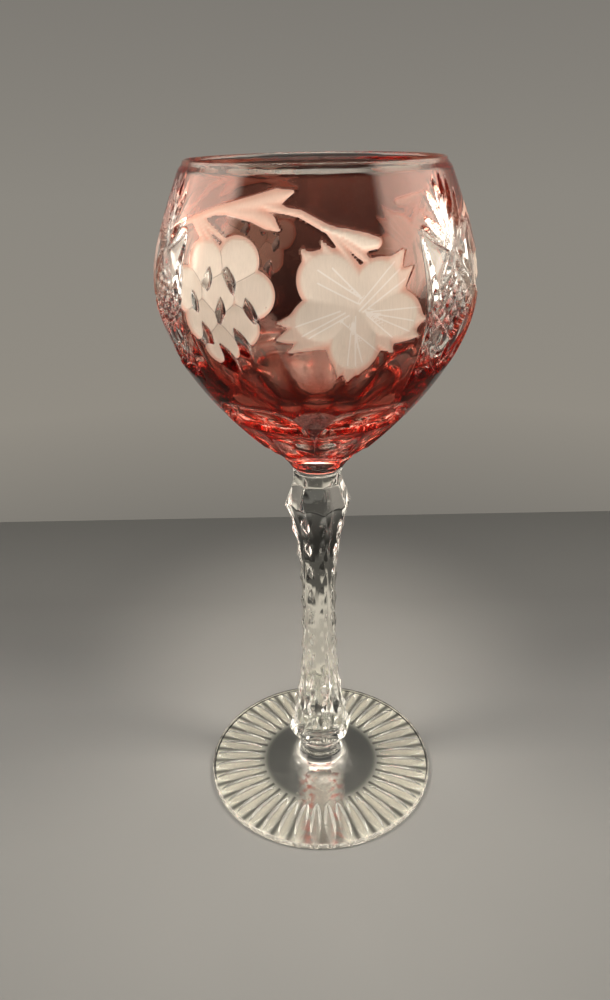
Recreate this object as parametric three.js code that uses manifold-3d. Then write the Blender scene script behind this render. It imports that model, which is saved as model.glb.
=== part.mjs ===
// A hock glass in cased crystal: a ruby skin over a clear bowl, on a cut clear stem and a ray-cut foot.
// Units are millimetres. +Z is up, and the origin is the middle of the foot's flat underside.
// Azimuth is measured in degrees from the front, -Y, towards +X.
import * as THREE from "three";
import { mergeVertices } from "three/addons/utils/BufferGeometryUtils.js";
import Module from "manifold-3d";

const wasm = await Module();
wasm.setup();

// Foot
const FOOT_RADIUS = 38.5;
const FOOT_EDGE_THICKNESS = 2.4;
const FOOT_EDGE_BEVEL = 0.7;
const FOOT_CROWN_RISE = 2.8; // from the edge's top up to where the neck flares out
const FOOT_NECK_RADIUS = 6.7;
const FOOT_NECK_FLARE = 4.4;
const FOOT_NECK_LENGTH = 2.4; // plain length under the seam with the stem
const RAY_COUNT = 40;
const RAY_INNER_RADIUS = 21.5;
const RAY_EDGE_MARGIN = 1.5; // left uncut at the foot's edge
const RAY_DEPTH = 0.9;
const RAY_FULLNESS = 0.92; // width of a ray as a share of the space it has
const RAY_PEAK = 0.6; // where along a ray it is widest and deepest, as a share
const CROWN_BEND = [0.4, 0.45]; // where the crown bends between edge and neck: shares across and up

// Stem: eight-sided, so its radii run to the corners
const STEM_LENGTH = 103.5;
const STEM_SIDES = 8;
const STEM_TURN = 9; // azimuth of one corner
const STEM_FOOT_RADIUS = 7.25;
const COLLAR_RADIUS = 10.9;
const COLLAR_HEIGHT = 5.7; // of the widest ring, over the seam with the foot
const WAIST_RADIUS = 5.75;
const WAIST_HEIGHT = 56;
const KNOP_RADIUS = 10.1;
const KNOP_DROP = 11.5; // of the widest ring, under the seam with the bowl
const THROAT_RADIUS = 7.3;
const THROAT_DROP = 3.5;
const STEM_TOP_RADIUS = 7.9;
const NOTCH_PITCH = 8.6;
const NOTCH_REACH = 2; // how far a notch runs along each side from its corner
const CORNER_FLAT = 0.1; // the same where no notch cuts the corner
const COLLAR_SWEEP = 2.6; // how sharply the shaft flares out into the collar, and into the knop
const KNOP_SWEEP = 2.4;

// Bowl: heights run up from its seam with the stem
const BOWL_HEIGHT = 84.5;
const BOWL_NECK_RADIUS = 7.7;
const BOWL_NECK_LENGTH = 1.6;
const BOWL_SPRING_OUT = 1.3; // gained where the neck turns outwards
const BOWL_SPRING_UP = 1.5;
const BELLY_RADIUS = 42.7;
const BELLY_HEIGHT = 53.5;
const RIM_RADIUS = 33;
const RIM_WALL = 1.5;
const BELLY_WALL = 3.2;
const BASE_THICKNESS = 13.5;
const CASING_THICKNESS = 0.5;
const FUSED_GAP = 0.05; // between the casing and the crystal

// Fullness of the bowl's curves: where their handles lie, as shares of the radius and height gained
const LOWER_START = [0.21, 0.11];
const LOWER_END = 0.42;
const UPPER_START = 0.23;
const UPPER_END = [0.87, 0.63];
const CAVITY_START = 0.5;
const CAVITY_END = 0.28;

// Rings of hollow cuts round the bowl's base, from the neck upwards
const BASE_TURN = -3; // azimuth of a ridge between two petals
const NECK_FACETS = 6;
const NECK_FACET_BOTTOM = 3.7;
const NECK_FACET_LENGTH = 5.4;
const NECK_FACET_DEPTH = 1.1;
const THUMB_CUTS = 12;
const THUMB_CUT_LENGTH = 10.4;
const THUMB_CUT_DEPTH = 0.42;
const PETALS = 6;
const PETAL_LENGTH = 8.6;
const PETAL_DEPTH = 1.9;
const RING_ROWS = [0, 1 / 3, 2 / 3, 1]; // heights at which a ring is modelled, as shares

// Cut decoration. Places on the bowl are [degrees, share], where share runs from 0 at the petals' tops
// to 1 at the rim.
const MOTIF_AZIMUTHS = [-7, 113, 233];
const PANEL_AZIMUTHS = [53, -67]; // the middle of the back stays plain
const CLUSTER_PLACE = [-25.5, 0.651]; // the middle of the top row of grapes
const CLUSTER_ROWS = [2, 3, 2, 1];
const GRAPE_SPACING = 12.5; // degrees
const GRAPE_ROW_PITCH = 0.109;
const GRAPE_FULLNESS = 0.97; // 1 where three grapes just meet in one point
const GRAPE_OPENING = 1.12; // the same in the casing, so that its openings run into one
const GRAPE_DEPTH = 0.85;
const HOLLOW_BOTTOM = 0.15; // a hollow's width at its bottom and half way down, over that at its edge
const HOLLOW_MIDDLE = 0.7;
const HOLLOW_FLARE = 1.3; // the same as far over the surface as the hollow is deep
const LEAF_PLACE = [18.9, 0.48];
const LEAF_TIPS = [
  [-17, 0.204],
  [16.4, 0.17],
  [22, -0.085],
  [-1, -0.298],
  [-18.7, -0.035],
];
const LOBE_OVERLAP = 1.08; // length of a lobe's oval over the distance that it spans
const LOBE_HALF_WIDTH = 4.6;
const LOBE_DEPTH = 0.9;
const VINE_RUNS = [
  [[-45.7, 0.773], [-14, 0.863]],
  [[-18, 0.855], [-1, 0.902]],
  [[-10, 0.846], [10.4, 0.77]],
  [[10.4, 0.77], [20, 0.6]],
  [[-40, 0.79], [-28, 0.675]],
];
const VINE_DEPTH = 0.9;
const VINE_HALF_WIDTH = 1.2;
const PANEL_HALF_WIDTH = 17.5; // degrees
const PANEL_BAND = [0.149, 0.743];
const PANEL_CUT_DEPTH = 1.1;
const PANEL_CUT_HALF_WIDTH = 1.3;
const FAN_RAYS = 7;
const FAN_ROOT = 4; // degrees to either side, where the fan starts
const FAN_SPREAD = 15; // degrees to either side, where it ends
const FAN_TOP = 0.947;
const FAN_DROP = 0.3; // how much lower the outer rays end, as a share of the middle ray
const FAN_CUT_HALF_WIDTH = 0.85;
const DIAMOND_HALF_WIDTH = 14; // degrees
const DIAMOND_HALF_HEIGHT = 0.247;
const DIAMOND_LINES = 4; // cuts each way

// Resolution
const SIDES_PER_THUMB_CUT = 3;
const FOOT_SIDES_PER_RAY = 2;
const CURVE_STEPS = 6;
const OVAL_SIDES = 8;
const GROOVE_STATIONS = 4;
const LEAST_ROW = 0.6; // least height between two rows of the bowl
const SLOPE_REACH = 0.5; // how far up and down the bowl's slope is read
const OVERRUN = 2; // how far a cutting tool stands proud of what it cuts

const radians = THREE.MathUtils.degToRad;
const { lerp, clamp } = THREE.MathUtils;
const footHeight =
  FOOT_EDGE_THICKNESS + FOOT_CROWN_RISE + FOOT_NECK_FLARE + FOOT_NECK_LENGTH;
const bowlSeam = footHeight + STEM_LENGTH;

// The point at a distance from the axis, an azimuth and a height.
function polar(radius, azimuth, height) {
  const angle = radians(azimuth);
  return new THREE.Vector3(radius * Math.sin(angle), -radius * Math.cos(angle), height);
}

// A closed geometry as a solid, with its faces turned outwards.
function solid(geometry) {
  const plain = geometry.clone();
  plain.deleteAttribute("normal");
  plain.deleteAttribute("uv");
  const merged = mergeVertices(plain, 1e-4);
  const index = merged.index.array;
  const faces = [];
  for (let i = 0; i < index.length; i += 3) {
    const [a, b, c] = index.slice(i, i + 3);
    if (a !== b && b !== c && c !== a) faces.push(a, b, c);
  }
  const build = (list) =>
    new wasm.Manifold(
      new wasm.Mesh({
        numProp: 3,
        vertProperties: merged.attributes.position.array,
        triVerts: new Uint32Array(list),
      }),
    );
  const made = build(faces);
  return made.volume() < 0 ? build(faces.reverse()) : made;
}

// A solid as a named mesh.
function meshOf(name, made, material) {
  const data = made.getMesh();
  const geometry = new THREE.BufferGeometry();
  geometry.setAttribute("position", new THREE.BufferAttribute(data.vertProperties, 3));
  geometry.setIndex(new THREE.BufferAttribute(data.triVerts, 1));
  geometry.computeVertexNormals();
  const mesh = new THREE.Mesh(geometry, material);
  mesh.name = name;
  return mesh;
}

// A profile of [radius, height] points turned round Z.
function turned(profile, sides) {
  const points = profile.map(([r, z]) => new THREE.Vector2(r, z));
  const geometry = new THREE.LatheGeometry(points, sides);
  geometry.rotateX(Math.PI / 2);
  return solid(geometry);
}

// Rings of points, each ring an array of Vector3, joined into one closed body with flat ends.
function loft(rings) {
  const size = rings[0].length;
  const last = (rings.length - 1) * size;
  const index = [];
  for (let row = 0; row < last; row += size)
    for (let i = 0; i < size; i++) {
      const a = row + i;
      const b = row + ((i + 1) % size);
      index.push(a, b, a + size, b, b + size, a + size);
    }
  for (let i = 1; i + 1 < size; i++) {
    index.push(0, i + 1, i);
    index.push(last, last + i, last + i + 1);
  }
  const geometry = new THREE.BufferGeometry().setFromPoints(rings.flat());
  geometry.setIndex(index);
  return solid(geometry);
}

function cutAll(blank, tools) {
  return tools.reduce((body, tool) => body.subtract(tool), blank);
}

// Points of a cubic curve through four [radius, height] corners, without its last point.
function curvePoints(corners) {
  const curve = new THREE.CubicBezierCurve(...corners.map(([r, z]) => new THREE.Vector2(r, z)));
  return curve
    .getPoints(CURVE_STEPS)
    .slice(0, -1)
    .map((p) => [p.x, p.y]);
}

// The bowl's outside as [radius, height] points, from its seam up to its rim.
function outsideProfile() {
  const spring = [BOWL_NECK_RADIUS + BOWL_SPRING_OUT, BOWL_NECK_LENGTH + BOWL_SPRING_UP];
  const swell = BELLY_RADIUS - spring[0];
  const climb = BELLY_HEIGHT - spring[1];
  const rise = BOWL_HEIGHT - BELLY_HEIGHT;
  const lower = curvePoints([
    spring,
    [spring[0] + LOWER_START[0] * swell, spring[1] + LOWER_START[1] * climb],
    [BELLY_RADIUS, BELLY_HEIGHT - LOWER_END * climb],
    [BELLY_RADIUS, BELLY_HEIGHT],
  ]);
  const upper = curvePoints([
    [BELLY_RADIUS, BELLY_HEIGHT],
    [BELLY_RADIUS, BELLY_HEIGHT + UPPER_START * rise],
    [lerp(RIM_RADIUS, BELLY_RADIUS, UPPER_END[0]), BOWL_HEIGHT - UPPER_END[1] * rise],
    [RIM_RADIUS, BOWL_HEIGHT],
  ]);
  const neck = [BOWL_NECK_RADIUS, 0];
  return [neck, [BOWL_NECK_RADIUS, BOWL_NECK_LENGTH], ...lower, ...upper, [RIM_RADIUS, BOWL_HEIGHT]];
}
const outside = outsideProfile();

// A value read from [value, position] points at a position between them.
function along(points, position) {
  const passed = points.findLastIndex((p) => p[1] <= position);
  const start = clamp(passed, 0, points.length - 2);
  const [r0, z0] = points[start];
  const [r1, z1] = points[start + 1];
  return lerp(r0, r1, clamp((position - z0) / (z1 - z0), 0, 1));
}

// The rings of cuts. The first ridge of a ring lies at the base's turn, or half a cut past it where
// shift is 0.5.
const neckRing = {
  count: NECK_FACETS,
  shift: 0.5,
  bottom: NECK_FACET_BOTTOM,
  top: NECK_FACET_BOTTOM + NECK_FACET_LENGTH,
  depth: NECK_FACET_DEPTH,
};
const thumbRing = {
  count: THUMB_CUTS,
  shift: 0,
  bottom: neckRing.top,
  top: neckRing.top + THUMB_CUT_LENGTH,
  depth: THUMB_CUT_DEPTH,
};
const petalRing = {
  count: PETALS,
  shift: 0,
  bottom: thumbRing.top,
  top: thumbRing.top + PETAL_LENGTH,
  depth: PETAL_DEPTH,
};
const baseRings = [neckRing, thumbRing, petalRing];

// How deep a ring of hollow cuts goes at an angle from the base's turn, and at a height.
function ringDepth({ count, shift, bottom, top, depth }, angle, height) {
  const rise = (height - bottom) / (top - bottom);
  if (rise <= 0 || rise >= 1) return 0;
  const turn = (angle * count) / 360 + shift;
  return depth * Math.sin(Math.PI * rise) * Math.abs(Math.sin(Math.PI * turn));
}

// A solid of the bowl's outer form, moved in by inset, with each ring cut into it. It runs past
// both ends by overrun.
function bowlForm({ inset, rings, overrun }) {
  const sides = THUMB_CUTS * SIDES_PER_THUMB_CUT;
  const rows = outside.map(([, z]) => z);
  for (const ring of rings)
    for (const share of RING_ROWS) rows.push(lerp(ring.bottom, ring.top, share));
  rows.sort((a, b) => a - b);
  const apart = rows.filter((z, i) => i === 0 || i === rows.length - 1 || z - rows[i - 1] > LEAST_ROW);
  const level = (height, place) => {
    const points = [];
    for (let i = 0; i < sides; i++) {
      const angle = (360 * i) / sides;
      const cut = rings.reduce((sum, ring) => sum + ringDepth(ring, angle, height), 0);
      const radius = along(outside, height) - inset - cut;
      points.push(polar(radius, BASE_TURN + angle, bowlSeam + place));
    }
    return points;
  };
  const levels = apart.map((height) => level(height, height));
  if (overrun > 0) {
    levels.unshift(level(0, -overrun));
    levels.push(level(BOWL_HEIGHT, BOWL_HEIGHT + overrun));
  }
  return loft(levels);
}

// The space inside the bowl, open at the rim.
function bowlCavity() {
  const rim = RIM_RADIUS - RIM_WALL;
  const belly = BELLY_RADIUS - BELLY_WALL;
  const rise = BOWL_HEIGHT - BELLY_HEIGHT;
  const depth = BELLY_HEIGHT - BASE_THICKNESS;
  const lower = curvePoints([
    [0, BASE_THICKNESS],
    [CAVITY_START * belly, BASE_THICKNESS],
    [belly, BELLY_HEIGHT - CAVITY_END * depth],
    [belly, BELLY_HEIGHT],
  ]);
  const upper = curvePoints([
    [belly, BELLY_HEIGHT],
    [belly, BELLY_HEIGHT + UPPER_START * rise],
    [lerp(rim, belly, UPPER_END[0]), BOWL_HEIGHT - UPPER_END[1] * rise],
    [rim, BOWL_HEIGHT],
  ]);
  const top = BOWL_HEIGHT + OVERRUN;
  const profile = [...lower, ...upper, [rim, BOWL_HEIGHT], [rim, top], [0, top]];
  const raised = profile.map(([r, z]) => [r, z + bowlSeam]);
  return turned(raised, THUMB_CUTS * SIDES_PER_THUMB_CUT);
}

// A place [degrees, share] on the bowl's outside: its point, and its outward normal.
function onBowl([azimuth, share]) {
  const height = lerp(petalRing.top, BOWL_HEIGHT, share);
  const radius = along(outside, height);
  const slope =
    (along(outside, height + SLOPE_REACH) - along(outside, height - SLOPE_REACH)) / (2 * SLOPE_REACH);
  const point = polar(radius, azimuth, bowlSeam + height);
  const normal = polar(1, azimuth, -slope).normalize();
  return { point, normal };
}

const between = (a, b, t) => [lerp(a[0], b[0], t), lerp(a[1], b[1], t)];
const shifted = (place, by) => [place[0] + by[0], place[1] + by[1]];

// A V-shaped wheel cut from one place on the bowl to another. It follows the surface, is deepest
// in its middle and runs out at both ends.
function groove(from, to, depth, halfWidth) {
  const run = onBowl(to).point.sub(onBowl(from).point).normalize();
  const rings = [];
  for (let i = 0; i < GROOVE_STATIONS; i++) {
    const t = i / (GROOVE_STATIONS - 1);
    const { point, normal } = onBowl(between(from, to, t));
    const fall = 1 - (2 * t - 1) ** 2;
    const side = new THREE.Vector3().crossVectors(run, normal).normalize();
    const reach = halfWidth * (fall + OVERRUN / depth);
    const proud = point.clone().addScaledVector(normal, OVERRUN);
    rings.push([
      point.clone().addScaledVector(normal, -depth * fall),
      proud.clone().addScaledVector(side, reach),
      proud.clone().addScaledVector(side, -reach),
    ]);
  }
  return loft(rings);
}

// Oval rings square to the bowl's outside, joined into one tool. An oval has half sizes wide and
// tall and is turned by tilt. Each ring is [share of the oval's size, height over the surface].
function oval({ place, size: [wide, tall], tilt = 0 }, rings) {
  const { point, normal } = onBowl(place);
  const level = new THREE.Vector3(0, 0, 1).cross(normal).normalize();
  const upward = new THREE.Vector3().crossVectors(normal, level);
  const ring = ([share, lift]) => {
    const points = [];
    for (let i = 0; i < OVAL_SIDES; i++) {
      const angle = (2 * Math.PI * i) / OVAL_SIDES;
      const flat = new THREE.Vector2(wide * Math.cos(angle), tall * Math.sin(angle));
      flat.multiplyScalar(share).rotateAround(new THREE.Vector2(), radians(tilt));
      const sag = flat.lengthSq() / (2 * BELLY_RADIUS);
      const place = point.clone().addScaledVector(level, flat.x).addScaledVector(upward, flat.y);
      points.push(place.addScaledVector(normal, lift - sag));
    }
    return points;
  };
  return loft(rings.map(ring));
}

// A hollow ground into the bowl, deepest in its middle, and an opening right through its casing.
const hollow = (shape, depth) =>
  oval(shape, [
    [HOLLOW_BOTTOM, -depth],
    [HOLLOW_MIDDLE, -depth / 2],
    [HOLLOW_FLARE, depth],
    [HOLLOW_FLARE, OVERRUN],
  ]);
const opening = (shape) => oval(shape, [[1, -OVERRUN], [1, OVERRUN]]);

// Places of one bunch's grapes, in rows that narrow downwards.
function grapePlaces(motif) {
  const places = [];
  CLUSTER_ROWS.forEach((count, row) => {
    for (let i = 0; i < count; i++)
      places.push([
        motif + CLUSTER_PLACE[0] + (i - (count - 1) / 2) * GRAPE_SPACING,
        CLUSTER_PLACE[1] - row * GRAPE_ROW_PITCH,
      ]);
  });
  return places;
}

// A grape's round outline. Three grapes meet in the point that is as far from all their middles.
function grape(place, fullness) {
  const half = (radians(GRAPE_SPACING) * onBowl(place).point.setZ(0).length()) / 2;
  const pitch = GRAPE_ROW_PITCH * (BOWL_HEIGHT - petalRing.top);
  const radius = (fullness * (half * half + pitch * pitch)) / (2 * pitch);
  return { place, size: [radius, radius] };
}

// The outlines of a five-lobed vine leaf: a long oval from its middle to each tip.
function leafLobes(motif) {
  const middle = shifted(LEAF_PLACE, [motif, 0]);
  const root = onBowl(middle).point;
  return LEAF_TIPS.map((tip) => {
    const reach = onBowl(shifted(middle, tip)).point;
    const half = root.distanceTo(reach) / 2;
    const rise = reach.z - root.z;
    const lean = Math.atan2(rise, Math.sign(tip[0]) * Math.sqrt(4 * half * half - rise * rise));
    const tilt = THREE.MathUtils.radToDeg(lean) - 90;
    const size = [LOBE_HALF_WIDTH, half * LOBE_OVERLAP];
    return { place: between(middle, shifted(middle, tip), 0.5), size, tilt };
  });
}

// The vine over grapes and leaf, with the stalks that hang from it.
function vine(motif) {
  return VINE_RUNS.map(([from, to]) =>
    groove(shifted(from, [motif, 0]), shifted(to, [motif, 0]), VINE_DEPTH, VINE_HALF_WIDTH),
  );
}

// A wheel cut in the panel at an azimuth, between two places given from the panel's middle line.
const panelCut = (azimuth, from, to, halfWidth = PANEL_CUT_HALF_WIDTH) =>
  groove(shifted(from, [azimuth, 0]), shifted(to, [azimuth, 0]), PANEL_CUT_DEPTH, halfWidth);

// The fan of rays over a star panel.
function panelFan(azimuth) {
  const high = PANEL_BAND[1];
  const tools = [];
  for (let i = 0; i < FAN_RAYS; i++) {
    const lean = lerp(-1, 1, i / (FAN_RAYS - 1));
    const tip = [lean * FAN_SPREAD, lerp(FAN_TOP, high, FAN_DROP * lean * lean)];
    tools.push(panelCut(azimuth, [lean * FAN_ROOT, high], tip, FAN_CUT_HALF_WIDTH));
  }
  return tools;
}

// The cuts of a star panel: two borders, a fan over them, and a diamond of crossed lines.
function starPanel(azimuth) {
  const [low, high] = PANEL_BAND;
  const tools = panelFan(azimuth);
  for (const side of [-PANEL_HALF_WIDTH, PANEL_HALF_WIDTH])
    tools.push(panelCut(azimuth, [side, low], [side, high]));
  const middle = (low + high) / 2;
  const onDiamond = (u, v) => [
    (DIAMOND_HALF_WIDTH * (u - v)) / 2,
    middle + (DIAMOND_HALF_HEIGHT * (u + v)) / 2,
  ];
  for (let i = 0; i < DIAMOND_LINES; i++) {
    const line = lerp(-1, 1, i / (DIAMOND_LINES - 1));
    tools.push(panelCut(azimuth, onDiamond(line, -1), onDiamond(line, 1)));
    tools.push(panelCut(azimuth, onDiamond(-1, line), onDiamond(1, line)));
  }
  return tools;
}

// The opening in the casing that bares a whole star panel.
function panelWindow(azimuth) {
  const rings = [];
  for (let i = 0; i <= CURVE_STEPS; i++) {
    const share = lerp(...PANEL_BAND, i / CURVE_STEPS);
    const ring = [];
    for (const [turn, lift] of [[-1, -1], [0, -1], [1, -1], [1, 1], [0, 1], [-1, 1]]) {
      const place = [azimuth + turn * PANEL_HALF_WIDTH, share];
      const { point, normal } = onBowl(place);
      ring.push(point.addScaledVector(normal, lift * OVERRUN));
    }
    rings.push(ring);
  }
  return loft(rings);
}

const overMotifs = (make) => MOTIF_AZIMUTHS.flatMap(make);

// Clear inner gather of the bowl, with its thick base and every cut that shows in it.
function bowlCrystal() {
  const core = bowlForm({ inset: CASING_THICKNESS + FUSED_GAP, rings: [], overrun: OVERRUN });
  const blank = bowlForm({ inset: 0, rings: baseRings, overrun: 0 })
    .intersect(core)
    .subtract(bowlCavity());
  const tools = overMotifs((motif) => [
    ...grapePlaces(motif).map((place) => hollow(grape(place, GRAPE_FULLNESS), GRAPE_DEPTH)),
    ...leafLobes(motif).map((lobe) => hollow(lobe, LOBE_DEPTH)),
    ...vine(motif),
  ]);
  return cutAll(blank, [...tools, ...PANEL_AZIMUTHS.flatMap(starPanel)]);
}

// Ruby skin over the bowl, open at the seam and at the rim. The decoration, the petals and the
// neck's facets are cut through it.
function rubyCasing() {
  const core = bowlForm({ inset: CASING_THICKNESS, rings: [], overrun: OVERRUN });
  const shell = bowlForm({ inset: 0, rings: baseRings, overrun: 0 }).subtract(core);
  const tools = overMotifs((motif) => [
    ...grapePlaces(motif).map((place) => opening(grape(place, GRAPE_OPENING))),
    ...leafLobes(motif).map(opening),
    ...vine(motif),
  ]);
  return cutAll(shell, [...tools, ...PANEL_AZIMUTHS.map(panelWindow), ...PANEL_AZIMUTHS.flatMap(panelFan)]);
}

// The stem's corner radius at a height above the seam with the foot: straight from each seam to the
// widest ring, and a hollow curve from each widest ring to the waist.
const knopHeight = STEM_LENGTH - KNOP_DROP;
const throatHeight = STEM_LENGTH - THROAT_DROP;
function stemRadius(height) {
  if (height < COLLAR_HEIGHT) return lerp(STEM_FOOT_RADIUS, COLLAR_RADIUS, height / COLLAR_HEIGHT);
  if (height < WAIST_HEIGHT) {
    const t = (WAIST_HEIGHT - height) / (WAIST_HEIGHT - COLLAR_HEIGHT);
    return lerp(WAIST_RADIUS, COLLAR_RADIUS, t ** COLLAR_SWEEP);
  }
  if (height < knopHeight) {
    const t = (height - WAIST_HEIGHT) / (knopHeight - WAIST_HEIGHT);
    return lerp(WAIST_RADIUS, KNOP_RADIUS, t ** KNOP_SWEEP);
  }
  if (height < throatHeight)
    return lerp(KNOP_RADIUS, THROAT_RADIUS, (height - knopHeight) / (throatHeight - knopHeight));
  return lerp(THROAT_RADIUS, STEM_TOP_RADIUS, (height - throatHeight) / THROAT_DROP);
}

// One ring of the stem's section. Each corner is cut off along the sides that meet in it, by the
// first reach at even corners and by the second at odd ones.
function stemRing(height, reaches) {
  const corner = (i) => polar(stemRadius(height), STEM_TURN + (360 * i) / STEM_SIDES, footHeight + height);
  const side = corner(0).distanceTo(corner(1));
  const points = [];
  for (let i = 0; i < STEM_SIDES; i++) {
    points.push(corner(i).lerp(corner(i + 1), reaches[i % 2] / side));
    points.push(corner(i + 1).lerp(corner(i), reaches[(i + 1) % 2] / side));
  }
  return points;
}

// Cut stem: a collar at its foot, a shaft with notches up its corners, and a knop under the bowl.
// The notches of one corner lie between those of the next.
function stem() {
  const uncut = [CORNER_FLAT, CORNER_FLAT];
  const evenCut = [NOTCH_REACH, CORNER_FLAT];
  const oddCut = [CORNER_FLAT, NOTCH_REACH];
  const rings = [stemRing(0, uncut), stemRing(COLLAR_HEIGHT, uncut)];
  const notches = Math.max(1, Math.round((knopHeight - COLLAR_HEIGHT) / NOTCH_PITCH));
  for (let i = 1; i < 2 * notches; i++) {
    const height = lerp(COLLAR_HEIGHT, knopHeight, i / (2 * notches));
    rings.push(stemRing(height, i % 2 ? evenCut : oddCut));
  }
  for (const height of [knopHeight, throatHeight, STEM_LENGTH]) rings.push(stemRing(height, uncut));
  return loft(rings);
}

// One ray under the foot: a V cut that is deepest in its middle and pointed at both ends.
function footRay(azimuth) {
  const outer = FOOT_RADIUS - RAY_EDGE_MARGIN;
  const stations = [
    [RAY_INNER_RADIUS, 0],
    [lerp(RAY_INNER_RADIUS, outer, RAY_PEAK), 1],
    [outer, 0],
  ];
  const rings = stations.map(([radius, share]) => {
    const room = (Math.PI * radius) / RAY_COUNT;
    const half = RAY_FULLNESS * room * (share + OVERRUN / RAY_DEPTH);
    const bottom = polar(radius, azimuth, -OVERRUN);
    const side = polar(1, azimuth + 90, 0);
    return [
      polar(radius, azimuth, RAY_DEPTH * share),
      bottom.clone().addScaledVector(side, half),
      bottom.clone().addScaledVector(side, -half),
    ];
  });
  return loft(rings);
}

// Foot: a disc that rises to a short neck, with a ring of rays cut under it.
function foot() {
  const crown = FOOT_EDGE_THICKNESS + FOOT_CROWN_RISE;
  const flareRadius = FOOT_NECK_RADIUS + FOOT_NECK_FLARE;
  const neckBottom = crown + FOOT_NECK_FLARE;
  const profile = [
    [0, 0],
    [FOOT_RADIUS - FOOT_EDGE_BEVEL, 0],
    [FOOT_RADIUS, FOOT_EDGE_BEVEL],
    [FOOT_RADIUS, FOOT_EDGE_THICKNESS - FOOT_EDGE_BEVEL],
    [FOOT_RADIUS - FOOT_EDGE_BEVEL, FOOT_EDGE_THICKNESS],
    [lerp(flareRadius, FOOT_RADIUS, CROWN_BEND[0]), lerp(FOOT_EDGE_THICKNESS, crown, CROWN_BEND[1])],
    [flareRadius, crown],
  ];
  for (const turn of [45, 90]) {
    const angle = radians(turn);
    profile.push([
      flareRadius - FOOT_NECK_FLARE * Math.sin(angle),
      neckBottom - FOOT_NECK_FLARE * Math.cos(angle),
    ]);
  }
  profile.push([FOOT_NECK_RADIUS, footHeight], [0, footHeight]);
  const rays = [];
  for (let i = 0; i < RAY_COUNT; i++) rays.push(footRay((360 * i) / RAY_COUNT));
  return cutAll(turned(profile, RAY_COUNT * FOOT_SIDES_PER_RAY), rays);
}

const clearGlass = new THREE.MeshStandardMaterial({
  color: 0xe9ece6,
  roughness: 0.03,
  metalness: 0,
  transparent: true,
  opacity: 0.4,
});
const rubyGlass = new THREE.MeshStandardMaterial({
  color: 0xa82a34,
  roughness: 0.03,
  metalness: 0,
  transparent: true,
  opacity: 0.7,
});

const hockGlass = new THREE.Group();
hockGlass.add(
  meshOf("foot", foot(), clearGlass),
  meshOf("stem", stem(), clearGlass),
  meshOf("bowl_crystal", bowlCrystal(), clearGlass),
  meshOf("ruby_casing", rubyCasing(), rubyGlass),
);

export default hockGlass;
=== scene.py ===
"""Looks of a cased hock glass: a ruby skin cut through to clear crystal, on a notched stem and a rayed foot.

Lengths in this file are millimetres, and meshes are scaled to metres as they are made. Azimuth is measured in
degrees from the front, -Y, towards +X, as in the CAD. The bowl's outside is one grid over azimuth and height,
and every wheel cut in it is a depth below the uncut form.
"""

import logging
import math
from collections.abc import Sequence
from dataclasses import dataclass, field
from enum import Enum

import bpy
import numpy as np
from mathutils import Matrix


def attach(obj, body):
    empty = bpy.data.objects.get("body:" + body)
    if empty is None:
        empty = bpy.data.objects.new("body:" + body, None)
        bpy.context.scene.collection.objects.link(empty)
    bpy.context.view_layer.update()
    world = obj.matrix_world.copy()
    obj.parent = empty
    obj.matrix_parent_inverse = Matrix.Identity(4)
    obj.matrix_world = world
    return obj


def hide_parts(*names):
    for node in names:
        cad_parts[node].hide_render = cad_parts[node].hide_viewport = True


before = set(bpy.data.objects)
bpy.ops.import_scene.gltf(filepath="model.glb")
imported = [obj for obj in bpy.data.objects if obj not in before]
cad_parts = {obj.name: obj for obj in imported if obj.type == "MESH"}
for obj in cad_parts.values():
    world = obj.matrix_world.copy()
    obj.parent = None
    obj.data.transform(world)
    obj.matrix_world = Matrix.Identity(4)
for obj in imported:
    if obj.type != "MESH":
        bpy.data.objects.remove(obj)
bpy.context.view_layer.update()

log = logging.getLogger("hock_glass")

Color = tuple[float, float, float]
Place = tuple[float, float]
Point = tuple[float, float, float]
Material = bpy.types.Material
Socket = bpy.types.NodeSocket

MM = 0.001
GLASS_IOR = 1.52
LINE_CORE = 0.4
TINY = 1e-12
WHITE: Color = (1.0, 1.0, 1.0)
CRYSTAL: Color = (0.965, 0.985, 0.97)


class Slot(Enum):
    """Material slots of the record."""

    CLEAR = "clear_glass"
    RUBY = "ruby_glass"


class Skin(Enum):
    """Which finish a face of the glass has. The value is its place in a mesh's material list."""

    POLISHED = 0
    FUSED = 1
    CUT = 2


# Arrays and meshes


def metres(lengths: Sequence[float]) -> tuple[float, ...]:
    """Millimetres as metres."""
    return tuple(length * MM for length in lengths)


def greys(stops: Sequence[Place]) -> list[tuple[float, Color]]:
    """Stops of one number each as stops of greys."""
    return [(place, (tone,) * 3) for place, tone in stops]


def smooth_step(value: np.ndarray) -> np.ndarray:
    """Three t squared less two t cubed, with t held between 0 and 1."""
    t = np.clip(value, 0.0, 1.0)
    return t * t * (3.0 - 2.0 * t)


def polar(radius: np.ndarray, azimuth: np.ndarray, height: np.ndarray) -> np.ndarray:
    """Points at a radius and azimuth: X is radius times sine, Y is minus radius times cosine, Z is height.

    Args:
        radius: Distances from the axis.
        azimuth: Degrees from the front towards +X.
        height: Heights over the floor.

    Returns:
        An array of points with the broadcast shape of the arguments and a last axis of 3.
    """
    angle = np.radians(azimuth)
    x = radius * np.sin(angle)
    y = -radius * np.cos(angle)
    return np.stack(np.broadcast_arrays(x, y, height), axis=-1)


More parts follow.
